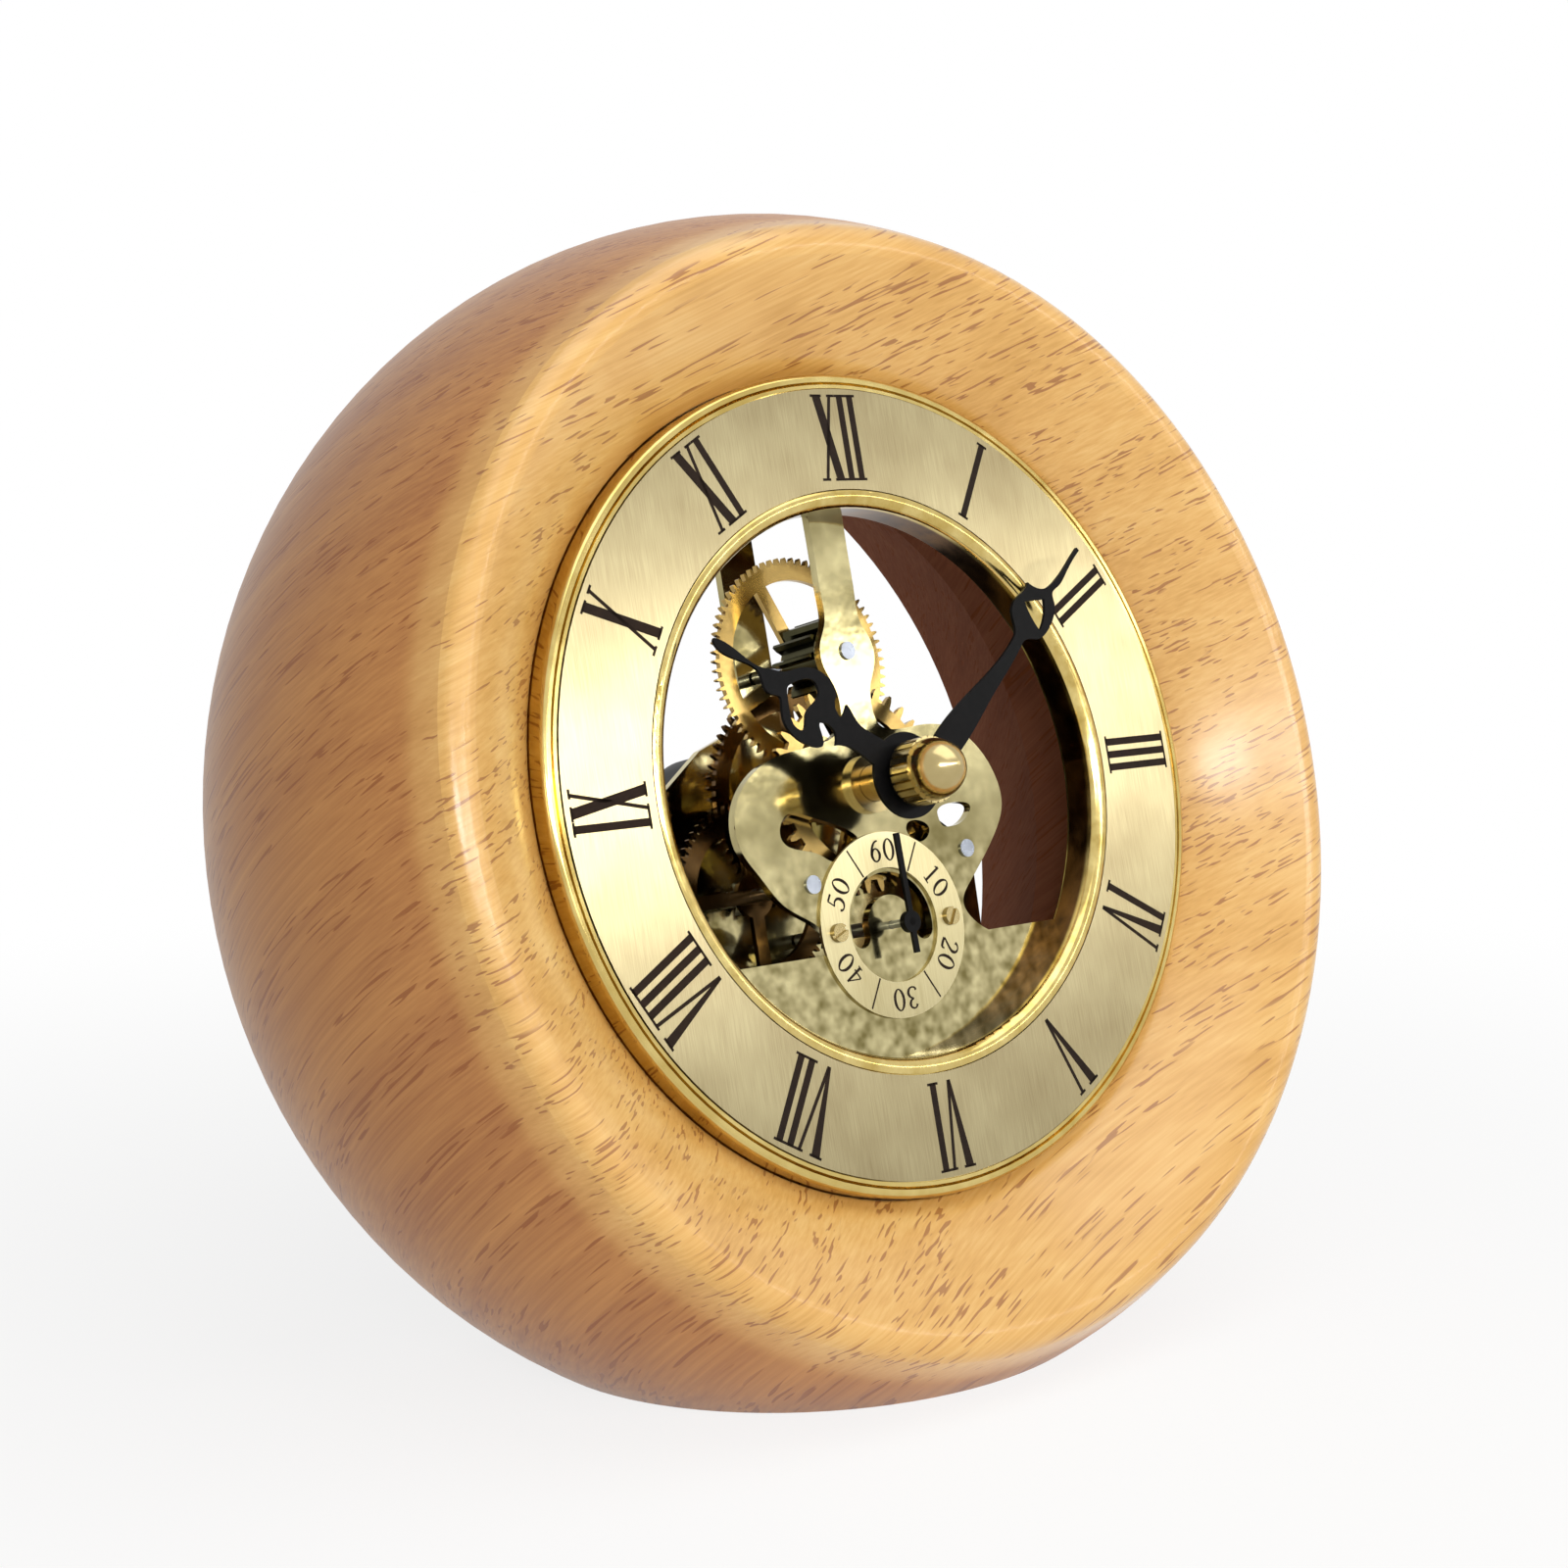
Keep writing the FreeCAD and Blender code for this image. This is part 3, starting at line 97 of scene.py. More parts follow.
class Finish:
    # One material and the nodes that give it its look
    def __init__(self, name, rough, metal=0.0, coat=0.0, coatRough=0.1):
        self.material = bpy.data.materials.new(name)
        self.material.use_nodes = True
        self.nodes = self.material.node_tree.nodes
        self.links = self.material.node_tree.links
        self.shader = self.nodes["Principled BSDF"]
        self.shader.inputs["Roughness"].default_value = rough
        self.shader.inputs["Metallic"].default_value = metal
        self.shader.inputs["Coat Weight"].default_value = coat
        self.shader.inputs["Coat Roughness"].default_value = coatRough
        place = self.nodes.new("ShaderNodeTexCoord")
        self.spot = place.outputs["Object"]
        self.normal = place.outputs["Normal"]

    def join(self, source, target):
        self.links.new(source, target)

    def math(self, operation, first, second):
        node = self.nodes.new("ShaderNodeMath")
        node.operation = operation
        for socket, value in zip(node.inputs, (first, second)):
            if isinstance(value, (int, float)):
                socket.default_value = value
            else:
                self.links.new(value, socket)
        return node.outputs[0]

    def dot(self, source, direction):
        node = self.nodes.new("ShaderNodeVectorMath")
        node.operation = "DOT_PRODUCT"
        self.links.new(source, node.inputs[0])
        node.inputs[1].default_value = direction
        return node.outputs["Value"]

    def ramp(self, source, stops):
        node = self.nodes.new("ShaderNodeValToRGB")
        node.color_ramp.elements[0].position = stops[0][0]
        node.color_ramp.elements[0].color = stops[0][1]
        node.color_ramp.elements[1].position = stops[-1][0]
        node.color_ramp.elements[1].color = stops[-1][1]
        for position, colour in stops[1:-1]:
            node.color_ramp.elements.new(position).color = colour
        self.links.new(source, node.inputs["Fac"])
        return node.outputs["Color"]

    def tones(self, source, dark, light, stops=(0.3, 0.7)):
        # From the dark colour to the light one as the source goes from stop to stop
        return self.ramp(source, [(stops[0], paint(dark)), (stops[1], paint(light))])

    def step(self, source, low, high, start=0.0, end=1.0):
        # Rises smoothly from start to end as the source goes from low to high
        node = self.nodes.new("ShaderNodeMapRange")
        node.interpolation_type = "SMOOTHSTEP"
        self.links.new(source, node.inputs["Value"])
        for socket, value in zip(("From Min", "From Max", "To Min", "To Max"), (low, high, start, end)):
            node.inputs[socket].default_value = value
        return node.outputs["Result"]

    def mix(self, amount, first, second):
        # Goes from the first colour to the second as the amount goes from 0 to 1
        node = self.nodes.new("ShaderNodeMix")
        node.data_type = "RGBA"
        sockets = (node.inputs["Factor"], node.inputs[6], node.inputs[7])
        for socket, value in zip(sockets, (amount, first, second)):
            if isinstance(value, (int, float, tuple)):
                socket.default_value = value
            else:
                self.links.new(value, socket)
        return node.outputs[2]

    def along(self, axes, scale=(1, 1, 1)):
        # Coordinates from the dial's centre along three given axes, in metres times a scale
        turned = Matrix(axes)
        node = self.nodes.new("ShaderNodeMapping")
        node.inputs["Rotation"].default_value = turned.to_euler("XYZ")
        node.inputs["Location"].default_value = -(turned @ dial["centre"])
        self.links.new(self.spot, node.inputs["Vector"])
        stretch = self.nodes.new("ShaderNodeVectorMath")
        stretch.operation = "MULTIPLY"
        self.links.new(node.outputs["Vector"], stretch.inputs[0])
        stretch.inputs[1].default_value = scale
        return stretch.outputs["Vector"]

    def noise(self, vector, scale=1.0, detail=2.0, rough=0.5, distortion=0.0):
        node = self.nodes.new("ShaderNodeTexNoise")
        node.inputs["Scale"].default_value = scale
        node.inputs["Detail"].default_value = detail
        node.inputs["Roughness"].default_value = rough
        node.inputs["Distortion"].default_value = distortion
        self.links.new(vector, node.inputs["Vector"])
        return node.outputs["Fac"]

    def bump(self, height, strength, depth):
        node = self.nodes.new("ShaderNodeBump")
        node.inputs["Strength"].default_value = strength
        node.inputs["Distance"].default_value = depth
        self.links.new(height, node.inputs["Height"])
        self.links.new(node.outputs["Normal"], self.shader.inputs["Normal"])

    def blend(self, first, second, share=0.5):
        # The two sources added, the second one with the given share
        return self.math("ADD", self.math("MULTIPLY", first, 1 - share),
                         self.math("MULTIPLY", second, share))

    def split(self, vector):
        node = self.nodes.new("ShaderNodeSeparateXYZ")
        self.links.new(vector, node.inputs["Vector"])
        return node.outputs

    def colour(self, source):
        self.links.new(source, self.shader.inputs["Base Color"])

    def rough(self, source):
        self.links.new(source, self.shader.inputs["Roughness"])

    def roughen(self, cloud, rough, shares):
        # The roughness times one share where the cloud is dark and the other where it is light
        least, most = [rough * share for share in shares]
        self.rough(self.step(cloud, *cloudFrom, least, most))


dialAxes = (acrossAxis, upAxis, outAxis)

# Grains are shares across, out and up. Scales are noise cells to the metre: two across the
# grain and one along it. The bore starts that many metres behind the numerals
beechLook = {
    "sideGrain": (0.0, 0.92, 0.40),
    "frontGrain": (0.93, 0.0, 0.37),
    # The side and front sets are one wood lit two ways: the front's lighter golden set is painted light
    # and the side's darker pinkish set is painted shade
    "side": ("9E6438", "B37A44", "C48B4F"),
    "front": ("C79549", "D7A65C", "E2B871"),
    "inside": ("84503A", "925B42", "A0684C"),
    "fleck": "86471F",
    "fleckDepth": 0.68,
    "tones": (0.3, 0.5, 0.7),
    "frontFrom": (0.42, 0.52),
    "boreFrom": (0.0050, 0.0056),
    "boreFacing": (0.0, 0.01),
    "ringScale": (60, 170, 6),
    "ringWaver": 0.4,
    "fibreScale": (600, 2600, 30),
    "rowScale": (150, 620, 9),
    "rowFrom": (0.45, 0.53),
    "fleckScale": (700, 2900, 150),
    "fleckFrom": (0.61, 0.67),
    "gloss": 0.8,
    "sideGloss": 0.18,
    "glossRough": 0.22,
    "rough": 0.42,
    "boreRough": 0.85,
    "shine": 0.25,
    "boreShine": 0.05,
    "reliefStrength": 0.25,
    "reliefDepth": 0.00012,
}


def grainAxes(shares):
    # Two axes across the grain and one along it, from its shares across, out and up
    grain = (acrossAxis * shares[0] + outAxis * shares[1] + upAxis * shares[2]).normalized()
    second = upAxis.cross(grain).normalized()
    return second, grain.cross(second), grain


def boreShare(beech):
    # 1 on faces behind the dial that look in towards its axis, and 0 elsewhere
    across, up, out = beech.split(beech.along(dialAxes))
    inward = beech.math("ADD", beech.math("MULTIPLY", beech.dot(beech.normal, acrossAxis), across),
                        beech.math("MULTIPLY", beech.dot(beech.normal, upAxis), up))
    facing = beech.step(beech.math("MULTIPLY", inward, -1), *beechLook["boreFacing"])
    behind = beech.step(beech.math("MULTIPLY", out, -1), *beechLook["boreFrom"])
    return beech.math("MULTIPLY", facing, behind)


def makeBeech():
    beech = Finish("beech", beechLook["rough"], coat=beechLook["gloss"],
                   coatRough=beechLook["glossRough"])
    front = beech.step(beech.dot(beech.normal, outAxis), *beechLook["frontFrom"])
    inside = boreShare(beech)
    # Growth rings: broad soft bands that run with the grain
    axes = grainAxes(beechLook["sideGrain"])
    rings = beech.noise(beech.along(axes, beechLook["ringScale"]), distortion=beechLook["ringWaver"])
    fibres, rows, flecks = [], [], []
    for shares in (beechLook["sideGrain"], beechLook["frontGrain"]):
        axes = grainAxes(shares)
        fibres.append(beech.noise(beech.along(axes, beechLook["fibreScale"]), rough=0.6))
        rows.append(beech.noise(beech.along(axes, beechLook["rowScale"]), detail=0))
        flecks.append(beech.noise(beech.along(axes, beechLook["fleckScale"]), detail=0))
    fine = beech.mix(front, *fibres)
    tone = beech.blend(rings, fine)
    # Painted light and shade: faces looking out of the dial take the lighter golden colours and the
    # sides take the darker pinkish ones, as the lamps would light them
    colours = []
    for part in ("side", "front", "inside"):
        shades = [paint(code) for code in beechLook[part]]
        colours.append(beech.ramp(tone, list(zip(beechLook["tones"], shades))))
    colour = beech.mix(inside, beech.mix(front, colours[0], colours[1]), colours[2])
    # Short dark flecks along the grain, lined up in rows
    fleck = beech.math("MULTIPLY", beech.step(beech.mix(front, *flecks), *beechLook["fleckFrom"]),
                       beech.step(beech.mix(front, *rows), *beechLook["rowFrom"]))
    amount = beech.math("MULTIPLY", fleck, beechLook["fleckDepth"])
    beech.colour(beech.mix(amount, colour, paint(beechLook["fleck"])))
    # The bore is left without lacquer
    beech.rough(beech.step(inside, 0, 1, beechLook["rough"], beechLook["boreRough"]))
    lacquer = beech.step(front, 0, 1, beechLook["sideGloss"], beechLook["gloss"])
    beech.join(beech.math("MULTIPLY", lacquer, beech.step(inside, 0, 1, 1.0, 0.0)),
               beech.shader.inputs["Coat Weight"])
    beech.join(beech.step(inside, 0, 1, beechLook["shine"], beechLook["boreShine"]),
               beech.shader.inputs["Specular IOR Level"])
    beech.bump(beech.math("SUBTRACT", fine, fleck), beechLook["reliefStrength"],
               beechLook["reliefDepth"])
    return beech.material


# Of every finish below, scales are noise cells to the metre and depths are in metres. A cloud
# goes from dark to light between two noise values, and the roughness shares follow it
cloudFrom = (0.3, 0.7)
cloudNoise = {"detail": 3, "rough": 0.6}

brushLook = {
    "anisotropy": 0.95,
    "lineScale": (6500, 160, 6500),
    "lineRough": 0.7,
    "strength": 0.3,
    "depth": 0.00001,
    "broadScale": (90, 90, 60),
}
brushedLooks = {
    "brushedGoldRing": {"dark": "978865", "light": "B9AD86", "rough": 0.34},
    "brushedGoldSeconds": {"dark": "9A8F69", "light": "B6AC87", "rough": 0.40},
}


def makeBrushed(name, dark, light, rough):
    # Metal brushed up and down, which spreads what it reflects sideways
    gold = Finish(name, rough, metal=1)
    gold.shader.inputs["Anisotropic"].default_value = brushLook["anisotropy"]
    sideways = gold.nodes.new("ShaderNodeCombineXYZ")
    sideways.inputs["X"].default_value = 1
    gold.join(sideways.outputs["Vector"], gold.shader.inputs["Tangent"])
    lines = gold.noise(gold.along(dialAxes, brushLook["lineScale"]), rough=brushLook["lineRough"])
    broad = gold.noise(gold.along(dialAxes, brushLook["broadScale"]))
    gold.colour(gold.tones(gold.blend(lines, broad), dark, light))
    gold.bump(lines, brushLook["strength"], brushLook["depth"])
    return gold.material


polishLook = {
    "waveScale": 420,
    "waveShare": 0.35,
    "cloudTimes": 6,
    "roughShares": (0.7, 1.4),
    "strength": 0.5,
}
polishedLooks = {
    "polishedGold": {"dark": "BBA055", "light": "DCC784", "rough": 0.14, "depth": 0.00001},
    "nutBrass": {"dark": "AC9965", "light": "C3B284", "rough": 0.2, "depth": 0.00001},
    "wheelBrass": {"dark": "8E7440", "light": "B99C5E", "rough": 0.16, "depth": 0.00002},
    # Painted shade: a darker copy of the wheel brass for the wheels that sit in shadow
    "darkBrass": {"dark": "4A3620", "light": "6E5430", "rough": 0.18, "depth": 0.00002},
    "drumSteel": {"dark": "34321F", "light": "4C4930", "rough": 0.2, "depth": 0.00002},
    "brightSteel": {"dark": "868B94", "light": "AEB3BC", "rough": 0.25, "depth": 0.00002,
                    "scale": 900},
}


def makePolished(name, dark, light, rough, depth, scale=polishLook["waveScale"]):
    # Polished metal that is slightly uneven, as turned and buffed brass is
    metal = Finish(name, rough, metal=1)
    waves = metal.noise(metal.spot, scale=scale)
    cloud = metal.noise(metal.spot, scale=scale / polishLook["cloudTimes"], **cloudNoise)
    metal.colour(metal.tones(metal.blend(cloud, waves, polishLook["waveShare"]), dark, light))
    metal.roughen(cloud, rough, polishLook["roughShares"])
    metal.bump(waves, polishLook["strength"], depth)
    return metal.material


# Painted reflection: the blotches of dark and light colour thin out upwards between two levels, in
# millimetres from the dial's centre
plateLook = {
    "dark": "7B7044",
    "light": "D3C796",
    "rough": 0.1,
    "roughShares": (0.7, 1.4),
    "fadeFrom": (-14, -6),
    "blotchShares": (0.75, 0.12),
    "blotchScale": 620,
    "blotchNoise": {"detail": 1, "rough": 0.4},
    "cloudScale": 70,
    "strength": 0.4,
    "depth": 0.00003,
}


def makePlate():
    # Polished sheet with painted reflections, blotchy on the lower segment and almost plain above it
    plate = Finish("plateBrass", plateLook["rough"], metal=1)
    up = plate.split(plate.along(dialAxes))["Y"]
    low, high = [level * mm for level in plateLook["fadeFrom"]]
    reliefAndReflectionBlotches = plate.noise(plate.spot, scale=plateLook["blotchScale"], **plateLook["blotchNoise"])
    cloud = plate.noise(plate.spot, scale=plateLook["cloudScale"], **cloudNoise)
    # Painted reflection: dark and light blotches in the colour, where the polished sheet would mirror
    # bright and dark surroundings
    tone = plate.mix(plate.step(up, low, high, *plateLook["blotchShares"]), cloud, reliefAndReflectionBlotches)
    plate.colour(plate.tones(tone, plateLook["dark"], plateLook["light"]))
    plate.roughen(cloud, plateLook["rough"], plateLook["roughShares"])
    plate.bump(reliefAndReflectionBlotches, plateLook["strength"], plateLook["depth"])
    return plate.material


# A bound is in millimetres in front of the numerals, and the colours change over the fade
fadeLook = {
    "fade": 0.7,
    "cloudScale": 300,
    "roughShares": (0.8, 1.3),
}
shadeAndTwoToneLooks = {
    # The trim ring's dark far colours are painted shade and painted dark reflection on its inner wall
    "trimGold": {"near": ("BBA055", "DCC784"), "far": ("3A2410", "6B4A22"), "bound": -1.0,
                 "rough": 0.14},
    "secondsSteel": {"near": ("0C0B0B", "161514"), "far": ("868B94", "AEB3BC"), "bound": -2.5,
                     "rough": 0.4},
}


def makeShadeAndTwoTone(name, near, far, bound, rough):
    # A polished piece with another colour further in than the bound: painted shade and dark reflection
    # on the trim ring's inner wall, and the arbor's own colours on the seconds arbor
    metal = Finish(name, rough, metal=1)
    out = metal.split(metal.along(dialAxes))["Z"]
    cloud = metal.noise(metal.spot, scale=fadeLook["cloudScale"], **cloudNoise)
    shades = [metal.tones(cloud, dark, light) for dark, light in (far, near)]
    nearShare = metal.step(out, (bound - fadeLook["fade"]) * mm, bound * mm)
    metal.colour(metal.mix(nearShare, *shades))
    metal.roughen(cloud, rough, fadeLook["roughShares"])
    return metal.material


plainLook = {
    "tones": (0.35, 0.65),
    "patchTimes": 20,
    "roughShares": (0.85, 1.2),
    "strength": 0.4,
}
plainLooks = {
    "blackLacquer": {"dark": "060606", "light": "0F0E0E", "rough": 0.42, "shine": 0.08},
    "numeralInk": {"dark": "1A110B", "light": "281C13", "rough": 0.5, "shine": 0.1},
    "blackRubber": {"dark": "141414", "light": "232323", "rough": 0.8, "scale": 1600,
                    "depth": 0.00008},
    "blackPlastic": {"dark": "121212", "light": "202020", "rough": 0.5, "scale": 2200,
                     "depth": 0.00006},
    "batteryJacket": {"dark": "1C2A3A", "light": "2A3C50", "rough": 0.3, "coat": 0.5},
}


def makePlain(name, dark, light, rough, scale=900, depth=0.00003, coat=0.0, shine=0.4):
    # Paint, rubber or plastic with a fine uneven surface
    plain = Finish(name, rough, coat=coat)
    plain.shader.inputs["Specular IOR Level"].default_value = shine
    grains = plain.noise(plain.spot, scale=scale, **cloudNoise)
    patches = plain.noise(plain.spot, scale=scale / plainLook["patchTimes"])
    plain.colour(plain.tones(plain.blend(grains, patches), dark, light, plainLook["tones"]))
    plain.roughen(patches, rough, plainLook["roughShares"])
    plain.bump(grains, plainLook["strength"], depth)
    return plain.material


finishes = {"beech": makeBeech(), "plateBrass": makePlate()}
for make, looks in ((makeBrushed, brushedLooks), (makePolished, polishedLooks),
                    (makeShadeAndTwoTone, shadeAndTwoToneLooks), (makePlain, plainLooks)):
    for name, look in looks.items():
        finishes[name] = make(name, **look)
print(len(finishes), "finishes made")

nodeFinishes = {
    "wood_case": "beech",
    "bezel_ring": "polishedGold",
    "retaining_band": "blackRubber",
    "chapter_ring": "brushedGoldRing",
    "inner_trim_ring": "trimGold",
    "front_plate": "plateBrass",
    "back_plate": "plateBrass",
    "ring_posts": "nutBrass",
    "post_screws": "brightSteel",
    "plate_pillars": "nutBrass",
    "plate_rivets": "brightSteel",
    "centre_bush": "nutBrass",
    "seconds_dial": "brushedGoldSeconds",
    "seconds_dial_screws": "nutBrass",
    "centre_arbor": "brightSteel",
    "centre_wheel": "darkBrass",
    "centre_pinion": "wheelBrass",
    "motion_arbor": "brightSteel",
    "motion_wheel": "wheelBrass",
    "motion_pinion": "drumSteel",
    "third_arbor": "brightSteel",
    "third_wheel": "darkBrass",
    "third_pinion": "brightSteel",
    "seconds_arbor": "secondsSteel",
    "seconds_pinion": "brightSteel",
    "hour_wheel": "wheelBrass",
    "hour_hand": "blackLacquer",
    "minute_hand": "blackLacquer",
    "seconds_hand": "blackLacquer",
    "cap_nut": "nutBrass",
    "drive_housing": "blackPlastic",
    "housing_screws": "brightSteel",
    "battery": "batteryJacket",
    "battery_contacts": "brightSteel",
    "setting_knob": "blackPlastic",
}
for node, finish in nodeFinishes.items():
    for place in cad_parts[node].material_slots:
        place.material = finishes[finish]
print("finishes on the", len(nodeFinishes), "carried pieces")


# Printed numerals
def newPiece(name, mesh, material, body):
    data = bpy.data.meshes.new(name)
    mesh.to_mesh(data)
    mesh.free()
    data.materials.append(material)
    piece = bpy.data.objects.new(name, data)
    bpy.context.scene.collection.objects.link(piece)
    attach(piece, body)


def addPrism(mesh, corners, place, bottom, top):
    # A flat shape raised from the dial, its corners given anticlockwise
    rings = []
    for level in (bottom, top):
        rings.append([mesh.verts.new(place(across, level, up)) for across, up in corners])
    mesh.faces.new(rings[1])
    mesh.faces.new(rings[0][::-1])
    count = len(corners)
    for index in range(count):
        after = (index + 1) % count
        mesh.faces.new((rings[0][index], rings[0][after], rings[1][after], rings[1][index]))


def addRibbon(mesh, points, place, bottom, top, closed=False):
    # A pen stroke: points are across, up and half the width of the nib there
    count = len(points)
    rows = []
    for index, (across, up, half) in enumerate(points):
        before = points[(index - 1) % count] if closed or index else points[index]
        after = points[(index + 1) % count] if closed or index < count - 1 else points[index]
        run = Vector((after[0] - before[0], after[1] - before[1])).normalized()
        side = Vector((-run.y, run.x)) * half
        rows.append([mesh.verts.new(place(across + sign * side.x, level, up + sign * side.y))
                     for level in (bottom, top) for sign in (-1, 1)])
    spans = range(count if closed else count - 1)
    for index in spans:
        here, there = rows[index], rows[(index + 1) % count]
        mesh.faces.new((here[2], there[2], there[3], here[3]))
        mesh.faces.new((here[1], there[1], there[0], here[0]))
        mesh.faces.new((here[0], there[0], there[2], here[2]))
        mesh.faces.new((here[3], there[3], there[1], here[1]))
    if not closed:
        mesh.faces.new((rows[0][0], rows[0][2], rows[0][3], rows[0][1]))
        mesh.faces.new((rows[-1][1], rows[-1][3], rows[-1][2], rows[-1][0]))


def turnedPlace(spotAcross, spotUp, degrees, radius):
    # Local across and up, set out from a centre at a clockwise angle from 12
    turn = math.radians(degrees)

    def place(across, level, up):
        out = radius + up
        return dialPoint(spotAcross + out * math.sin(turn) + across * math.cos(turn), level,
                         spotUp + out * math.cos(turn) - across * math.sin(turn))
    return place


# Lengths in millimetres, taken on the dial
romanLook = {
    "inner": 37.7,
    "tall": 11.0,
    "stem": 0.95,
    "pitch": 1.68,
    "thin": 0.46,
    "broad": 1.28,
    "serif": 0.32,
    "serifOut": 0.36,
    "wideX": 3.9,
    "wideV": 4.1,
    "inset": 0.3,
    "pointInset": 0.05,
    "crossInset": 0.5,
    "lowInset": 0.25,
    "pointShift": 0.1,
    "pointBroad": 0.42,
    "pointBack": 0.12,
    "footV": 1.1,
    "footX": 1.3,
    "headX": 1.2,
    "raise": 0.03,
}
romanWords = ("XII", "I", "II", "III", "IV", "V", "VI", "VII", "VIII", "IX", "X", "XI")


def bar(low, high, thickLow, thickHigh=None):
    # A stroke from its left edge at the bottom to its left edge at the top
    thickHigh = thickLow if thickHigh is None else thickHigh
    tall = romanLook["tall"]
    return [(low, 0), (low + thickLow, 0), (high + thickHigh, tall), (high, tall)]


def foot(left, right, atTop):
    tall, serif = romanLook["tall"], romanLook["serif"]
    low, high = (tall - serif, tall) if atTop else (0, serif)
    return [(left, low), (right, low), (right, high), (left, high)]


def shapesOfOne(pen):
    stem, out = romanLook["stem"], romanLook["serifOut"]
    left = pen + romanLook["pitch"] / 2 - stem / 2
    shapes = [bar(left, left, stem)]
    for atTop in (False, True):
        shapes.append(foot(left - out, left + stem + out, atTop))
    return shapes, romanLook["pitch"]


def shapesOfFive(pen):
    thin, broad, wide, inset = [romanLook[part] for part in ("thin", "broad", "wideV", "inset")]
    point = pen + wide / 2 + romanLook["pointShift"]
    return [
        bar(point - romanLook["pointBack"], pen + inset, romanLook["pointBroad"], broad),
        bar(point - romanLook["pointInset"], pen + wide - inset - thin, thin),
        foot(pen, pen + broad + 2 * inset, True),
        foot(pen + wide - romanLook["footV"], pen + wide, True),
    ], wide


def shapesOfTen(pen):
    thin, broad, wide, inset = [romanLook[part] for part in ("thin", "broad", "wideX", "inset")]
    cross, point = romanLook["crossInset"], romanLook["pointInset"]
    return [
        bar(pen + wide - broad - romanLook["lowInset"], pen + inset, broad),
        bar(pen + cross + point, pen + wide - cross - thin, thin),
        foot(pen, pen + romanLook["footX"], False),
        foot(pen + wide - broad - cross, pen + wide, False),
        foot(pen + point, pen + broad + cross + point, True),
        foot(pen + wide - romanLook["headX"], pen + wide - point, True),
    ], wide


romanLetters = {"I": shapesOfOne, "V": shapesOfFive, "X": shapesOfTen}


def romanShapes(word):
    # The strokes of a numeral, set out from its middle
    pen = 0.0
    shapes = []
    for letter in word:
        strokes, wide = romanLetters[letter](pen)
        shapes += strokes
        pen += wide
    return [[(across - pen / 2, up) for across, up in shape] for shape in shapes]


def addRomanNumerals():
    for hour, word in enumerate(romanWords):
        mesh = bmesh.new()
        place = turnedPlace(0, 0, hour * 30, romanLook["inner"])
        for shape in romanShapes(word):
            addPrism(mesh, shape, place, 0, romanLook["raise"])
        newPiece("numeral_" + word, mesh, finishes["numeralInk"], "case")


addRomanNumerals()
print("hour numerals printed")

# Lengths in millimetres; levels are in front of the numerals, and angles are clockwise from 12
secondsLook = {
    "centre": (0, -17.8),
    "face": -4.6,
    "inner": 7.95,
    "tall": 2.85,
    "pitch": 2.2,
    "raise": 0.03,
    "dividers": (-30, 30, 150, 210),
    "dividerFrom": 7.3,
    "dividerTo": 11.4,
    "dividerHalf": 0.11,
}
